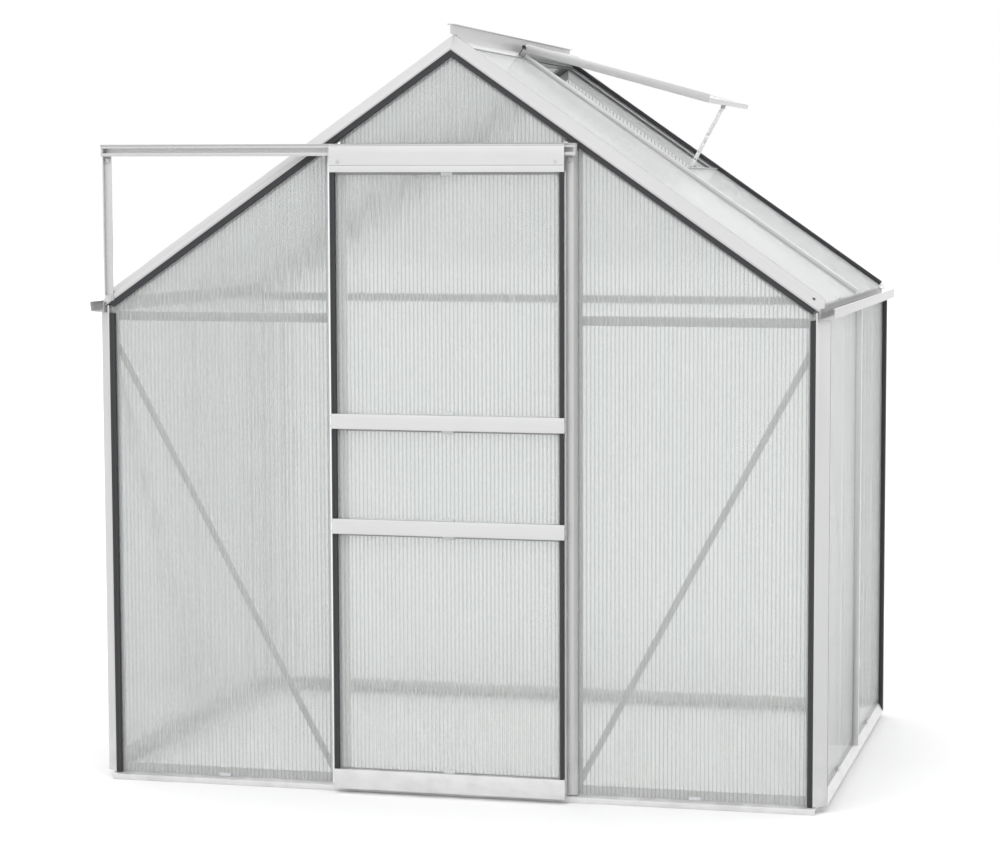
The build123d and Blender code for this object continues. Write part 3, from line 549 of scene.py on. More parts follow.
@dataclass(frozen=True)
class SheetSkin(Finish):
    """Clear finish of a drawn sheet's skins and ribs, which blurs what lies far behind; painted paler on the roof, as
    painted light for the brighter light on its slope.
    """

    run: Run
    wave: float = 0.0009
    bend: float = 1.22
    shade: float = 0.15
    walls: tuple[Run, ...] = (Run.UPRIGHT, Run.GABLE)
    wall_level: float = 0.869
    # painted light: the roof's sheets are paler than the walls' for the brighter light on the slope
    roof_lit_level: float = 0.940
    # painted shade: how much darker the skin is over each rib
    rib_shade: float = 0.036
    green: float = 0.010
    blue: float = 0.007
    wall_clear: float = 0.80
    roof_clear: float = 0.74

    def label(self) -> str:
        """Gives the material's name."""
        return f"twin_wall_skin_{self.run.name.lower()}"

    def tone(self, level: float) -> Color:
        """Gives the faintly green colour of a level."""
        return level, level + self.green, level + self.blue, 1.0

    def wire(self, wiring: Wiring, shader: Node) -> None:
        """Wires the skin, waved along the flutes and lighter for shadows than for the eye.

        Args:
            wiring: the material's nodes.
            shader: its Principled shader.
        """
        wall = self.run in self.walls
        level = self.wall_level if wall else self.roof_lit_level
        waves = FluteWaves().place(wiring, Vector=wiring.place(self.run.value), Light=self.tone(level),
                                   Dark=self.tone(level - self.rib_shade))
        shadow = wiring.add("ShaderNodeLightPath").outputs["Is Shadow Ray"]
        wiring.fill(shader, {"Base Color": waves["Color"], "Roughness": waves["Roughness"],
                             "Normal": wiring.bump(waves["Height"], self.wave),
                             "Alpha": wiring.remap(shadow, 1.0, self.shade),
                             "Transmission Weight": self.wall_clear if wall else self.roof_clear,
                             "IOR": self.bend})


@dataclass(frozen=True)
class PaleFloor(Finish):
    """Matt floor of two near whites."""

    name: str = "pale_floor"
    first: Color = (0.93, 0.93, 0.93, 1.0)
    second: Color = (0.95, 0.95, 0.95, 1.0)
    cloud: float = 3.0
    rough: float = 0.9
    gloss: float = 0.1

    def wire(self, wiring: Wiring, shader: Node) -> None:
        """Wires the cloudy tone.

        Args:
            wiring: the material's nodes.
            shader: its Principled shader.
        """
        cloud = wiring.noise(wiring.place(), self.cloud)
        wiring.fill(shader, {"Base Color": wiring.blend(cloud, self.first, self.second), "Roughness": self.rough,
                             "Specular IOR Level": self.gloss})


def select_only(piece: Piece) -> None:
    """Deselects everything, then selects one object and makes it active.

    Args:
        piece: the object.
    """
    bpy.ops.object.select_all(action="DESELECT")
    piece.select_set(True)
    bpy.context.view_layer.objects.active = piece


@contextmanager
def edit_mode(piece: Piece, everything: bool = True) -> Iterator[None]:
    """Edits one object's mesh, with all of it selected at the start or what was picked before.

    Args:
        piece: the object.
        everything: whether all of the mesh gets selected.

    Returns:
        A context in which the object is in edit mode.
    """
    select_only(piece)
    bpy.ops.object.mode_set(mode="EDIT")
    if everything:
        bpy.ops.mesh.select_all(action="SELECT")
    yield
    bpy.ops.object.mode_set(mode="OBJECT")


def pick_vertices(piece: Piece, wanted: Callable[[Vector], bool]) -> None:
    """Selects only the vertices whose place passes a test.

    Args:
        piece: the object.
        wanted: the test on a vertex's place.
    """
    with edit_mode(piece):
        bpy.ops.mesh.select_all(action="DESELECT")
    for vertex in piece.data.vertices:
        vertex.select = wanted(vertex.co)


def shift_picked(piece: Piece, by: Place) -> None:
    """Moves the selected vertices of an object."""
    with edit_mode(piece, everything=False):
        bpy.ops.transform.translate(value=by)


def cut_away(piece: Piece, point: Sequence[float], normal: Sequence[float]) -> None:
    """Cuts away what lies past a plane and closes the cut."""
    with edit_mode(piece):
        bpy.ops.mesh.bisect(plane_co=point, plane_no=normal, use_fill=True, clear_outer=True)


def settle(piece: Piece) -> Piece:
    """Puts an object's place, turn and scale into its mesh.

    Args:
        piece: the object.

    Returns:
        The same object.
    """
    select_only(piece)
    bpy.ops.object.transform_apply(location=True, rotation=True, scale=True)
    return piece


def add_block(name: str, low: Sequence[float], high: Sequence[float]) -> Piece:
    """Adds a block between two corners, as a start for shaping.

    Args:
        name: the object's name.
        low: lowest corner.
        high: highest corner.

    Returns:
        The new object, settled.
    """
    bpy.ops.object.select_all(action="DESELECT")
    middle = [(a + b) / 2 for a, b in zip(low, high)]
    bpy.ops.mesh.primitive_cube_add(size=1.0, location=middle)
    block = bpy.context.active_object
    block.name = name
    block.scale = [b - a for a, b in zip(low, high)]
    return settle(block)


def apply_modifier(piece: Piece, kind: str, **settings: object) -> None:
    """Adds a modifier and applies it.

    Args:
        piece: the object.
        kind: Blender's name for the modifier type.
        **settings: properties of the modifier.
    """
    select_only(piece)
    modifier = piece.modifiers.new(kind.lower(), kind)
    for key, value in settings.items():
        setattr(modifier, key, value)
    bpy.ops.object.modifier_apply(modifier=modifier.name)


def ease_edges(piece: Piece, width: float, **settings: object) -> None:
    """Rounds an object's edges in two steps."""
    apply_modifier(piece, "BEVEL", width=width, segments=2, **settings)


def add_wedge(corners: Corners, wanted: Callable[[Vector], bool], by: Place, ease: float) -> Piece:
    """Adds a block, moves some of its corners and eases its edges.

    Args:
        corners: lowest and highest corner of the block.
        wanted: the test on the place of a corner that is moved.
        by: how far it is moved.
        ease: how far the edges are eased.

    Returns:
        The shaped piece.
    """
    wedge = add_block("wedge", *corners)
    pick_vertices(wedge, wanted)
    shift_picked(wedge, by)
    ease_edges(wedge, ease)
    return wedge


def join_pieces(name: str, pieces: Sequence[Piece]) -> Piece:
    """Joins objects into the first one.

    Args:
        name: the joined object's name.
        pieces: the objects.

    Returns:
        The joined object.
    """
    select_only(pieces[0])
    for piece in pieces[1:]:
        piece.select_set(True)
    bpy.ops.object.join()
    pieces[0].name = name
    return pieces[0]


def paint(piece: Piece, *materials: Material) -> None:
    """Gives an object its materials.

    Args:
        piece: the object.
        *materials: the materials, in slot order.
    """
    piece.data.materials.clear()
    for material in materials:
        piece.data.materials.append(material)


def hand_over(piece: Piece, body: str, slot: Slot, *nodes: str) -> None:
    """Rides a finished piece on its body and hides the CAD nodes that it stands for.

    Args:
        piece: the finished object.
        body: the body that it moves with.
        slot: the record's material slot; not used.
        *nodes: the CAD nodes that it replaces.
    """
    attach(piece, body)
    if nodes:
        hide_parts(*nodes)
    LOG.info("%s on %s, %d faces", piece.name, body, len(piece.data.polygons))


@dataclass
class TwinWallSheet:
    """A glazing sheet: a thin closed shell with ribs between its two skins."""

    pitch: float = HOUSE.flute_pitch
    edge: float = 0.004
    skin: float = 0.0004
    rib: float = 0.0026
    waist: float = 0.35
    slack: float = 1e-6

    def build(self, name: str, corners: Corners, across: Axis, along: Axis, run: Run,
              cuts: Sequence[Corners] = ()) -> Piece:
        """Builds a sheet between two corners.

        Args:
            name: the object's name.
            corners: lowest and highest corner.
            across: axis that the ribs are spaced along.
            along: axis that the ribs run along.
            run: the way that the flutes run once the sheet is in place.
            cuts: a point and an outward direction for each plane that the sheet is cut to.

        Returns:
            The sheet.
        """
        low, high = corners
        shell = add_block(name, low, high)
        (through,) = set(Axis) - {across, along}
        start = math.ceil((low[across] + self.edge) / self.pitch)
        count = math.floor((high[across] - self.edge) / self.pitch) - start + 1
        first, last = list(low), list(high)
        first[across] = start * self.pitch - self.rib / 2
        last[across] = first[across] + self.rib
        for axis in (through, along):
            first[axis] += self.skin
            last[axis] -= self.skin
        ribs = add_block(name + "_ribs", first, last)
        self.waist_in(ribs, across, through)
        step = [0.0, 0.0, 0.0]
        step[across] = self.pitch
        apply_modifier(ribs, "ARRAY", count=count, use_relative_offset=False, use_constant_offset=True,
                       constant_offset_displace=step)
        for part in (shell, ribs):
            for point, normal in cuts:
                cut_away(part, point, normal)
        sheet = join_pieces(name, [shell, ribs])
        self.dress(sheet, run)
        return sheet

    def waist_in(self, rib: Piece, across: Axis, through: Axis) -> None:
        """Narrows a rib halfway between the skins, where the drawn sheet is thinnest.

        Args:
            rib: the first rib, still a block.
            across: axis of its width.
            through: axis between the skins.
        """
        centre = sum((Vector(corner) for corner in rib.bound_box), Vector()) / len(rib.bound_box)
        normal = Vector([float(axis == through) for axis in Axis])
        with edit_mode(rib):
            bpy.ops.mesh.bisect(plane_co=centre, plane_no=normal)
        pick_vertices(rib, lambda place: abs(place[through] - centre[through]) < self.slack)
        narrow = [self.waist if axis == across else 1.0 for axis in Axis]
        with edit_mode(rib, everything=False):
            bpy.ops.transform.resize(value=narrow, center_override=centre)

    def dress(self, sheet: Piece, run: Run) -> None:
        """Gives the skins and the ribs their finish."""
        paint(sheet, SheetSkin(run).material())


@dataclass
class Glazing:
    """All the sheets of the house, door and vent."""

    sheet: TwinWallSheet
    wall_nodes: Names = ("front_left_pane", "front_right_pane", "front_top_pane", "rear_lower_pane", "rear_upper_pane")
    door_nodes: Names = ("door_lower_pane", "door_middle_pane", "door_upper_pane")
    square_node: str = "rear_lower_pane"
    bay_edge: float = 0.006
    vent_hinge: Place = (0.0282685, 0.0, 1.9216255)
    vent_reach: Span = (0.00745, 0.508)
    vent_lift: float = -0.001

    def build(self) -> None:
        """Builds and hands over every sheet."""
        for node in self.wall_nodes:
            self.gable(node, "frame")
        for node in self.door_nodes:
            self.gable(node, "door")
        for node in ("left_side_panes", "right_side_panes"):
            self.side(node)
        self.roof("left_roof_panes", Side.LEFT)
        self.roof("right_front_roof_pane", Side.RIGHT)
        self.roof("right_lower_roof_pane", Side.RIGHT)
        self.vent()

    def gable(self, node: str, body: str) -> None:
        """Builds a sheet that faces the front or rear, cut to the rafters where it meets them.

        Args:
            node: the CAD node that it stands for.
            body: the body that it moves with.
        """
        margin = HOUSE.bar_face + HOUSE.pane_gap
        slopes = [(HOUSE.on_slope(side, margin), HOUSE.slope_normal(side)) for side in Side]
        cut = node in self.wall_nodes and node != self.square_node
        sheet = self.sheet.build(node + "_sheet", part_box(node), Axis.X, Axis.Z, Run.GABLE, slopes if cut else ())
        hand_over(sheet, body, Slot.SHEET, node)

    def halves(self, low: Vector, high: Vector) -> list[Corners]:
        """Splits a box at the middle bar, for the two bays along the house.

        Args:
            low: lowest corner.
            high: highest corner.

        Returns:
            The corners of the front and the rear half.
        """
        front_high = Vector((high.x, HOUSE.middle - self.bay_edge, high.z))
        rear_low = Vector((low.x, HOUSE.middle + self.bay_edge, low.z))
        return [(low, front_high), (rear_low, high)]

    def join_bays(self, node: str, bays: Sequence[Corners], along: Axis, run: Run) -> Piece:
        """Builds a node's sheets along the house, one for each pair of corners, and joins them."""
        return join_pieces(node + "_sheet", [self.sheet.build(f"{node}_{number}", corners, Axis.Y, along, run)
                                             for number, corners in enumerate(bays)])

    def lay(self, sheet: Piece, slope: float, at: Place) -> None:
        """Turns a flat sheet to its slope and moves it into place.

        Args:
            sheet: the sheet.
            slope: its turn about Y.
            at: where its origin goes.
        """
        sheet.rotation_euler = (0.0, slope, 0.0)
        sheet.location = at
        settle(sheet)

    def side(self, node: str) -> None:
        """Builds the two sheets of a side wall."""
        sheet = self.join_bays(node, self.halves(*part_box(node)), Axis.Z, Run.UPRIGHT)
        hand_over(sheet, "frame", Slot.SHEET, node)

    def roof(self, node: str, side: Side) -> None:
        """Builds the sheets of a roof slope, flat at first, then laid on the slope.

        Args:
            node: the CAD node that they stand for.
            side: the slope's side.
        """
        low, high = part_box(node)
        sink, deep = HOUSE.pane_inset, HOUSE.pane_inset + HOUSE.pane_thickness
        head, foot = sorted((abs(low.x), abs(high.x)))
        head = (head + deep * math.sin(HOUSE.pitch)) / math.cos(HOUSE.pitch)
        foot = (foot + sink * math.sin(HOUSE.pitch)) / math.cos(HOUSE.pitch)
        near, far = sorted((side * head, side * foot))
        flat = Vector((near, low.y, -deep)), Vector((far, high.y, -sink))
        bays = self.halves(*flat) if node == "left_roof_panes" else [flat]
        sheet = self.join_bays(node, bays, Axis.X, Run.RIGHT_SLOPE if side is Side.RIGHT else Run.LEFT_SLOPE)
        self.lay(sheet, side * HOUSE.pitch, (0.0, 0.0, HOUSE.ridge))
        hand_over(sheet, "frame", Slot.SHEET, node)

    def vent(self) -> None:
        """Builds the vent's sheet about its hinge line, then lays it at the open angle."""
        low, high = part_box("vent_pane")
        start, stop = self.vent_reach
        flat = (start, low.y, self.vent_lift - HOUSE.pane_thickness), (stop, high.y, self.vent_lift)
        sheet = self.join_bays("vent_pane", [flat], Axis.X, Run.VENT_SLOPE)
        self.lay(sheet, HOUSE.pitch - HOUSE.vent_open, self.vent_hinge)
        hand_over(sheet, "vent", Slot.SHEET, "vent_pane")


@dataclass(frozen=True)
class SunkLine:
    """A line along a bar: the strip between two distances along one direction, sunk into one face."""

    across: Vector
    low: float
    high: float
    facing: Vector
    level: float
    square: float = 0.99
    slack: float = 1e-5

    def holds(self, face: bpy.types.MeshPolygon) -> bool:
        """Tells whether a face is part of the strip.

        Args:
            face: a face of the bar.

        Returns:
            True when it is.
        """
        return (face.normal.dot(self.facing) > self.square
                and abs(face.center.dot(self.facing) - self.level) < self.slack
                and self.low < face.center.dot(self.across) < self.high)


class BarFace(IntEnum):
    """The faces of a bar, in the order of its skins: outer faces; faces in shade, which get painted shade and on the
    rear right rafter painted light; and front faces, which get painted shadow in open ends and painted light in the
    door track's channel and on the left door post.
    """

    OUTER = 0
    INNER = 1
    END = 2


# The bars that run each way.
BAR_RUNS: dict[Run, Names] = {
    Run.ALONG_X: ("front_sill", "rear_sill", "door_header", "front_ties", "rear_tie", "door_track", "door_top_rail",
                  "door_upper_rail", "door_lower_rail", "door_kick_plate"),
    Run.ALONG_Y: ("left_sill", "right_sill", "left_gutter", "right_gutter", "ridge_bar", "vent_sill", "vent_top_bar",
                  "vent_bottom_bar"),
    Run.UPRIGHT: ("front_left_post", "front_right_post", "rear_left_post", "rear_right_post", "door_posts",
                  "side_bars", "track_stay", "door_left_stile", "door_right_stile", "wall_braces"),
    Run.LEFT_SLOPE: ("front_left_rafter", "rear_left_rafter"),
    Run.RIGHT_SLOPE: ("front_right_rafter", "rear_right_rafter", "roof_bars"),
    Run.VENT_SLOPE: ("vent_side_bars",),
    Run.STAY: ("vent_stay",)}


@dataclass
class RoundedBars:
    """The extruded bars: each solid with its sharp edges eased, as a die leaves them."""

    ease: float = 0.0006
    seal_ease: float = 0.0012
    seal_margin: float = 0.0040
    small_ease: float = 0.0004
    groove_depth: float = 0.0008
    face_plate: float = 0.002
    merge: float = 0.000002
    flat_angle: float = math.radians(0.5)
    edge_angle: float = math.radians(28.0)
    front_facing: float = 0.9
    bevel_facing: float = 0.3
    moving_bars: Names = ("vent_side_bars", "vent_bottom_bar", "vent_top_bar", "vent_stay")
    # bars given a step of painted shade
    shaded_bars: Names = ("track_stay", "door_posts", "ridge_bar", "vent_side_bars", "vent_bottom_bar", "vent_top_bar",
                         "left_gutter", "right_gutter", "door_track")
    rail_line: Span = (0.0235, 0.0255)
    rib_half: float = 0.005
    rib_line: Span = (0.0112, 0.0094)
    post_line: Span = (0.3135, 0.3224)
    track_line: Span = (0.0065, 0.0010)
    hinge_front: float = -0.1
    foot_curve: tuple[Span, ...] = ((-0.9240, 1.281), (-0.9225, 1.271), (-0.9185, 1.262), (-0.9110, 1.251))

    def lines(self, node: str) -> list[SunkLine]:
        """Gives the sunk lines of the door's top rail and track, of the roof bars and of the right door post.

        Args:
            node: the bar's CAD node.

        Returns:
            The lines, empty for a smooth bar.
        """
        front, up = Vector((0.0, -1.0, 0.0)), Vector((0.0, 0.0, 1.0))
        if node == "door_top_rail":
            spans = [sorted(HOUSE.track_foot + side * edge for edge in self.rail_line) for side in Side]
            return [SunkLine(up, low, high, front, self.face_plate - HOUSE.door_front) for low, high in spans]
        if node == "roof_bars":
            low, high = (HOUSE.ridge * math.cos(HOUSE.pitch) - depth for depth in self.rib_line)
            return [SunkLine(HOUSE.slope_normal(side), low, high, front, self.rib_half - HOUSE.middle)
                    for side in Side]
        if node == "door_posts":
            return [SunkLine(Vector((1.0, 0.0, 0.0)), *self.post_line, front, -HOUSE.front)]
        if node == "door_track":
            low, high = (HOUSE.track_foot + HOUSE.track_height - depth for depth in self.track_line)
            return [SunkLine(up, low, high, front, HOUSE.track_depth - HOUSE.front)]
        return []

    def build(self) -> None:
        """Builds and hands over every bar, seal and small part."""
        for run, nodes in BAR_RUNS.items():
            for node in nodes:
                bar = self.eased(node, self.ease)
                self.dress(bar, node, run)
                hand_over(bar, frame["nodes"][node]["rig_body"], Slot.BAR, node)
        others = ((Slot.SEAL, BLACK_SEAL, self.seal_ease, ("glazing_seals", "door_seals")),
                  (Slot.STEEL, ZINC_STEEL, self.small_ease,
                   ("door_axles", "glazing_clips", "door_clips", "vent_fittings")),
                  (Slot.NYLON, NYLON, self.small_ease, ("left_wheel", "right_wheel", "door_guides")),
                  (Slot.NYLON, GREY_NYLON, self.small_ease, ("track_stops",)))
        for slot, finish, width, nodes in others:
            for node in nodes:
                part = self.eased(node, width)
                paint(part, finish.material())
                hand_over(part, frame["nodes"][node]["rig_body"], slot, node)

    def outer_skin(self, node: str) -> Skin:
        """Chooses the skin of a bar's outside.

        Args:
            node: the bar's CAD node.

        Returns:
            The skin.
        """
        # the vent stay's outside gets painted light against the shade under the vent
        if node == "vent_stay":
            return Skin.POLISHED
        # the rafters get painted shade against the sun's sheen on them
        if node.endswith("_rafter"):
            return Skin.SOFT
        # a step of painted shade for the listed bars and the corner posts, BRIGHT for the rest
        return Skin.PLAIN if node in self.shaded_bars or node.endswith("_post") else Skin.BRIGHT

    def dress(self, bar: Piece, node: str, run: Run) -> None:
        """Gives a bar its outer skin, painted shade to its faces in shade and painted light to the rear right
        rafter's, painted shadow to the open ends of the vent's top bar and the ridge bar, and painted light to front
        faces in the door track's channel and on the left door post.

        Args:
            bar: the piece.
            node: the CAD node that it stands for.
            run: the way that it runs.
        """
        # faces in shade get painted shade, and the rear right rafter's downward faces get painted light
        inner = Skin.POLISHED if node == "rear_right_rafter" else Skin.DULL
        # front faces get painted light on the door track and door posts, and painted shadow on the vent's top bar and
        # the ridge bar
        other = Skin.POLISHED if node in ("door_track", "door_posts") else Skin.DARK
        for skin in (self.outer_skin(node), inner, other):
            bar.data.materials.append(SatinAluminium(run, skin).material())
        for face in bar.data.polygons:
            place, front = face.center, face.normal.y < -self.front_facing
            if front and (node in ("vent_top_bar", "ridge_bar") and place.y > self.hinge_front
                          or node == "door_track" and place.y > HOUSE.front - HOUSE.track_depth / 2
                          or node == "door_posts" and place.x < 0.0):
                # painted shadow in open ends, painted light in the track's channel and on the left door post
                face.material_index = BarFace.END
            elif (node == "rear_right_rafter" and face.normal.y < -self.bevel_facing
                  or node.endswith("_gutter") and front
                  or node not in self.moving_bars and HOUSE.is_inside(place)):
                # painted shade on the gutters' fronts and on faces inside the house, painted light on the rear right
                # rafter's downward faces
                face.material_index = BarFace.INNER

    def groove(self, piece: Piece, line: SunkLine) -> None:
        """Sinks a line along a bar and marks its floor for painted shade, so that it shows as a shaded line.

        Args:
            piece: the bar.
            line: where the line runs.
        """
        with edit_mode(piece):
            for distance in (line.low, line.high):
                bpy.ops.mesh.select_all(action="SELECT")
                bpy.ops.mesh.bisect(plane_co=line.across * distance, plane_no=line.across)
            bpy.ops.mesh.select_all(action="DESELECT")
            bpy.ops.mesh.select_mode(type="FACE")
        for face in piece.data.polygons:
            face.select = line.holds(face)
            if face.select:
                # the groove's floor gets painted shade
                face.material_index = BarFace.INNER
        with edit_mode(piece, everything=False):
            bpy.ops.mesh.extrude_region_move(TRANSFORM_OT_translate={"value": -line.facing * self.groove_depth})
            bpy.ops.mesh.select_mode(type="VERT")

    def round_foot(self, piece: Piece) -> None:
        """Cuts the track stay's outer lower corner to a curve, in short straight steps."""
        for (x0, z0), (x1, z1) in zip(self.foot_curve, self.foot_curve[1:]):
            cut_away(piece, (x0, 0.0, z0), (z1 - z0, 0.0, x0 - x1))

    def draw_in(self, piece: Piece) -> None:
        """Draws the right-hand door seals in from the door's edge, so that the stile shows beside them.

        Args:
            piece: the door's seals.
        """
        edge = HOUSE.door_shift + HOUSE.door_half - self.ease
        pick_vertices(piece, lambda place: place.x > edge)
        shift_picked(piece, (-self.seal_margin, 0.0, 0.0))

    def eased(self, node: str, width: float) -> Piece:
        """Copies a solid and eases its edges.

        Args:
            node: the CAD node to copy.
            width: how far an edge is eased.

        Returns:
            The new piece.
        """
        mesh = frame["nodes"][node].data.copy()
        mesh.materials.clear()
        piece = bpy.data.objects.new(node + "_piece", mesh)
        bpy.context.scene.collection.objects.link(piece)
        with edit_mode(piece):
            bpy.ops.mesh.remove_doubles(threshold=self.merge)
            bpy.ops.mesh.dissolve_limited(angle_limit=self.flat_angle)
            bpy.ops.mesh.select_all(action="DESELECT")
            bpy.ops.mesh.select_interior_faces()
            bpy.ops.mesh.delete(type="FACE")
        if node == "track_stay":
            self.round_foot(piece)
        if node == "door_seals":
            self.draw_in(piece)
        for line in self.lines(node):
            self.groove(piece, line)
        ease_edges(piece, width, limit_method="ANGLE", angle_limit=self.edge_angle, use_clamp_overlap=True)
        select_only(piece)
        bpy.ops.object.shade_smooth_by_angle(angle=self.edge_angle)
        return piece


@dataclass
class EaveStrips:
    """A strip along each gutter's inner wall, which closes the gap below the foot of the roof's sheets, painted with
    shade as the shaded gap there.
    """

    inner: float = 0.9265
    outer: float = 0.9300
    foot: float = 1.2485
    head: float = 1.2578
    end: float = 0.034
    ease: float = 0.0005

    def strip(self, side: Side) -> Piece:
        """Shapes one strip, its head sloped as the sheet above it.

        Args:
            side: the gutter's side.

        Returns:
            The strip.
        """
        near, far = sorted((side * self.inner, side * self.outer))
        corners = (near, HOUSE.front + self.end, self.foot), (far, HOUSE.rear - self.end, self.head)
        level, line = (self.foot + self.head) / 2, (self.inner + self.outer) / 2
        drop = (self.inner - self.outer) * math.tan(HOUSE.pitch)
        return add_wedge(corners, lambda place: place.z > level and side * place.x > line, (0.0, 0.0, drop), self.ease)

    def build(self) -> None:
        """Builds and hands over both strips."""
        piece = join_pieces("eave_strips", [self.strip(side) for side in Side])
        # painted shade: the strips take the tone of faces in shade
        paint(piece, SatinAluminium(Run.ALONG_Y, Skin.DULL).material())
        hand_over(piece, "frame", Slot.BAR)


@dataclass
class RailSeals:
    """Grey rubber lips on the door's panes, along the rails' edges and parted at the clips.

    Each rail is named with the height of its lip, which is below the rail or above it.
    """

    thickness: float = 0.0010
    taper: float = 0.0005
    clip_half: float = 0.0155
    seal_width: float = 0.0135
    ease: float = 0.0002
    below: tuple[tuple[str, float], ...] = (("door_top_rail", 0.0065), ("door_upper_rail", 0.0050),
                                            ("door_lower_rail", 0.0050))
    above: tuple[tuple[str, float], ...] = (("door_kick_plate", 0.0030),)

    def lip(self, side: Side, low: float, high: float) -> Piece:
        """Shapes one lip on the face of the panes, thinner at its foot.

        Args:
            side: the side of the clip that it lies on.
            low: height of its foot.
            high: height of its head.

        Returns:
            The lip.
        """
        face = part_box("door_middle_pane")[0].y
        ends = (self.clip_half, HOUSE.door_half - self.seal_width)
        near, far = sorted(HOUSE.door_shift + side * end for end in ends)
        corners = (near, face - self.thickness, low), (far, face, high)
        level, line = (low + high) / 2, face - self.thickness / 2
        return add_wedge(corners, lambda place: place.z < level and place.y < line, (0.0, self.taper, 0.0), self.ease)

    def build(self) -> None:
        """Builds and hands over the lips."""
        spans = [(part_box(node)[0].z - height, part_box(node)[0].z) for node, height in self.below]
        spans += [(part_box(node)[1].z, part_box(node)[1].z + height) for node, height in self.above]
        piece = join_pieces("rail_seals", [self.lip(side, *span) for span in spans for side in Side])
        paint(piece, GREY_SEAL.material())
        hand_over(piece, "door", Slot.SEAL)


@dataclass
class Fixings:
    """Hexagon bolts with washers on the frame and the door's edges, and screws in the door's top rail.

    The crown holds the insets of a head's top, each as a share of the head's radius and of its height. The braces
    are given by the seats of their bolts: distance from the middle or the front, and height.
    """

    flat_radius: float = 0.0058
    head: float = 0.0040
    crown: tuple[Span, ...] = ((0.14, 0.16), (0.30, 0.0), (0.12, -0.14))
    top_facing: float = 0.9
    washer_radius: float = 0.0085
    washer: float = 0.0012
    washer_ease: float = 0.3
    bolt_sides: int = 6
    round_sides: int = 28
    screw_sides: int = 24
    smooth_angle: float = math.radians(30.0)
    edge_scale: float = 0.62
    screw_scale: float = 0.55
    inside: float = 0.021
    front_braces: tuple[Span, ...] = ((0.909, 1.150), (0.328, 0.054))
    side_braces: tuple[Span, ...] = ((0.041, 1.150), (0.632, 0.054))
    track_bolt: float = 0.306
    bolt_drop: float = 0.010
    stay_bolt: float = -0.9125
    stay_plate: float = 0.003
    edge_depth: float = 0.007
    edge_heights: tuple[float, ...] = (0.021, 0.055, 0.675, 0.701, 0.942, 0.968)
    rail_screw: float = 0.2805
    rail_plate: float = 0.002
    screw_drop: float = 0.015

    def disc(self, sides: int, radius: float, low: float, thick: float) -> Piece:
        """Adds a short cylinder about the Z axis, as a start for shaping.

        Args:
            sides: sides of the cylinder.
            radius: its radius.
            low: height of its foot.
            thick: its own height.

        Returns:
            The new object, settled.
        """
        bpy.ops.object.select_all(action="DESELECT")
        bpy.ops.mesh.primitive_cylinder_add(vertices=sides, radius=radius, depth=thick,
                                            location=(0.0, 0.0, low + thick / 2))
        return settle(bpy.context.active_object)

    def template(self, name: str, sides: int) -> Piece:
        """Models one bolt or screw at the origin, its head towards +Z.

        Args:
            name: the object's name.
            sides: sides of the head; many for a round screw.

        Returns:
            The fixing, with its washer.
        """
        head = self.disc(sides, self.flat_radius, self.washer, self.head)
        self.shape_crown(head)
        washer = self.disc(self.round_sides, self.washer_radius, 0.0, self.washer)
        ease_edges(washer, self.washer * self.washer_ease)
        fixing = join_pieces(name, [head, washer])
        bpy.ops.object.shade_smooth_by_angle(angle=self.smooth_angle)
        return fixing

    def shape_crown(self, head: Piece) -> None:
        """Chamfers a head's top and sinks its middle.

        Args:
            head: the head, not yet shaped.
        """
        for face in head.data.polygons:
            face.select = face.normal.z > self.top_facing
        with edit_mode(head, everything=False):
            bpy.ops.mesh.select_mode(type="FACE")
            for width, rise in self.crown:
                bpy.ops.mesh.inset(thickness=self.flat_radius * width, depth=self.head * rise)
            bpy.ops.mesh.select_mode(type="VERT")

    def set_copies(self, name: str, fixing: Piece, scale: float, seats: Sequence[Seat]) -> Piece:
        """Copies a fixing to its seats and joins the copies.

        Args:
            name: the joined object's name.
            fixing: the template.
            scale: size of the copies.
            seats: a place and an outward direction for each.

        Returns:
            The joined piece.
        """
        copies = []
        for place, outward in seats:
            copy = bpy.data.objects.new(f"{name}_{len(copies)}", fixing.data.copy())
            bpy.context.scene.collection.objects.link(copy)
            copy.location = place
            copy.rotation_euler = Vector(outward).to_track_quat("Z", "Y").to_euler()
            copy.scale = (scale, scale, scale)
            copies.append(settle(copy))
        return join_pieces(name, copies)

    def frame_seats(self) -> list[Seat]:
        """Lists the seats of the frame's bolts: brace ends, track and track stay.

        Returns:
            A place and an outward direction for each.
        """
        seats, front = [], (0.0, -1.0, 0.0)
        height = HOUSE.track_foot - self.bolt_drop
        for side in Side:
            for x, z in self.front_braces:
                seats.append(((side * x, HOUSE.front + self.inside, z), (0.0, 1.0, 0.0)))
            for y, z in self.side_braces:
                seats.append(((side * (HOUSE.half_width - self.inside), HOUSE.front + y, z), (-side, 0.0, 0.0)))
            seats.append(((side * self.track_bolt, HOUSE.front, height), front))
        return seats + [((self.stay_bolt, HOUSE.front - self.stay_plate, z), front) for z in (HOUSE.eave, height)]

    def edge_seats(self) -> list[Seat]:
        """Lists the seats of the small bolts in the door's edges, two to each rail's end.

        Returns:
            A place and an outward direction for each.
        """
        depth = HOUSE.door_front + self.edge_depth
        return [((HOUSE.door_shift + side * HOUSE.door_half, depth, z), (side, 0.0, 0.0))
                for z in self.edge_heights for side in Side]

    def rail_seats(self) -> list[Seat]:
        """Gives the seats of the two screws in the door's top rail."""
        return [((HOUSE.door_shift + side * self.rail_screw, HOUSE.door_front - self.rail_plate,
                  HOUSE.track_foot - self.screw_drop), (0.0, -1.0, 0.0)) for side in Side]

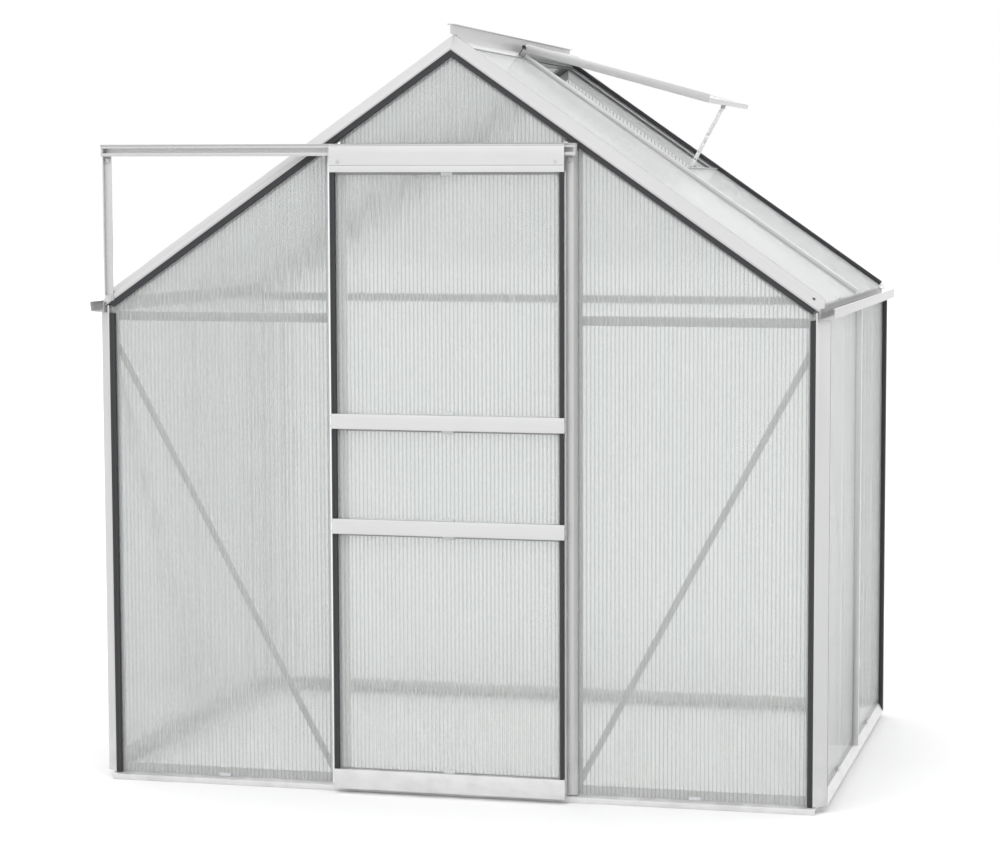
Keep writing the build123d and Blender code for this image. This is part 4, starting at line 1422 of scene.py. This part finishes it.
    def build(self) -> None:
        """Builds and hands over the bolts and screws."""
        bolt = self.template("bolt_template", self.bolt_sides)
        screw = self.template("screw_template", self.screw_sides)
        heads = self.set_copies("frame_bolts_piece", bolt, 1.0, self.frame_seats())
        edges = self.set_copies("door_edge_bolts", bolt, self.edge_scale, self.edge_seats())
        screws = self.set_copies("top_rail_screws", screw, self.screw_scale, self.rail_seats())
        for template in (bolt, screw):
            bpy.data.objects.remove(template)
        for piece, body, nodes in ((heads, "frame", ("frame_bolts",)), (edges, "door", ()), (screws, "door", ())):
            paint(piece, ZINC_STEEL.material())
            hand_over(piece, body, Slot.STEEL, *nodes)


@dataclass
class Studio:
    """Plain pale floor, soft light and the camera at the photograph's angle.

    Each sun has what sun() takes. The dome's two strengths are for lighting the house and for being seen.
    """

    camera_at: Place = (1.8011, -7.0005, 1.5454)
    azimuth: float = math.radians(12.72)
    elevation: float = math.radians(5.195)
    lens: float = 95.0
    sensor: float = 36.0
    shift: Span = (-0.0935, -0.0025)
    floor_size: float = 90.0
    floor_drop: float = 0.0005
    clear_depth: int = 32
    dome: Span = (0.60, 1.0)
    suns: tuple[tuple[str, Place, float, float], ...] = (("key", (-0.30, -0.62, 0.72), 0.45, 45.0),
                                                         ("top", (0.10, 0.05, 1.0), 2.0, 150.0))

    def build(self) -> None:
        """Makes the stage and sets the view."""
        scene = bpy.context.scene
        scene.view_settings.view_transform = "Standard"
        self.camera(scene)
        self.floor()
        self.world(scene)
        scene.cycles.transparent_max_bounces = self.clear_depth
        for sun in self.suns:
            self.sun(*sun)

    def camera(self, scene: bpy.types.Scene) -> None:
        """Adds the camera and makes it the scene's own.

        Args:
            scene: the scene that it films.
        """
        data = bpy.data.cameras.new("camera")
        data.lens = self.lens
        data.sensor_width = self.sensor
        data.shift_x, data.shift_y = self.shift
        camera = bpy.data.objects.new("camera", data)
        camera.location = self.camera_at
        camera.rotation_euler = (math.pi / 2 - self.elevation, 0.0, self.azimuth)
        scene.collection.objects.link(camera)
        scene.camera = camera

    def floor(self) -> None:
        """Adds the pale floor, which shows white where no shadow falls."""
        bpy.ops.object.select_all(action="DESELECT")
        bpy.ops.mesh.primitive_plane_add(size=self.floor_size, location=(0.0, 0.0, -self.floor_drop))
        floor = bpy.context.active_object
        floor.name = "floor"
        paint(floor, PaleFloor().material())

    def world(self, scene: bpy.types.Scene) -> None:
        """Adds an even dome that the camera, gloss and clear sheets see as white.

        Args:
            scene: the scene that it lights.
        """
        world = bpy.data.worlds.new("dome")
        world.use_nodes = True
        wiring = Wiring(world.node_tree)
        rays = wiring.add("ShaderNodeLightPath").outputs
        shown = wiring.maths("MAXIMUM", rays["Is Camera Ray"], rays["Is Glossy Ray"])
        shown = wiring.maths("MAXIMUM", shown, rays["Is Transmission Ray"])
        wiring.fill(world.node_tree.nodes["Background"], {"Strength": wiring.remap(shown, *self.dome),
                                                          "Color": (1.0, 1.0, 1.0, 1.0)})
        scene.world = world

    def sun(self, name: str, towards: Place, strength: float, spread: float) -> None:
        """Adds a broad sun, which lights the whole floor evenly.

        Args:
            name: the lamp's name.
            towards: direction from the house to the lamp.
            strength: light on a face square to it.
            spread: width of the lamp in degrees, for soft shadows.
        """
        data = bpy.data.lights.new(name, "SUN")
        data.energy = strength
        data.angle = math.radians(spread)
        lamp = bpy.data.objects.new(name, data)
        lamp.rotation_euler = Vector(towards).to_track_quat("Z", "Y").to_euler()
        bpy.context.scene.collection.objects.link(lamp)


def main() -> None:
    """Builds the stage, the sheets, the bars and the small parts in order."""
    logging.basicConfig(level=logging.INFO, format="%(message)s")
    Studio().build()
    Glazing(TwinWallSheet()).build()
    RoundedBars().build()
    EaveStrips().build()
    RailSeals().build()
    Fixings().build()


if __name__ == "__main__":
    main()
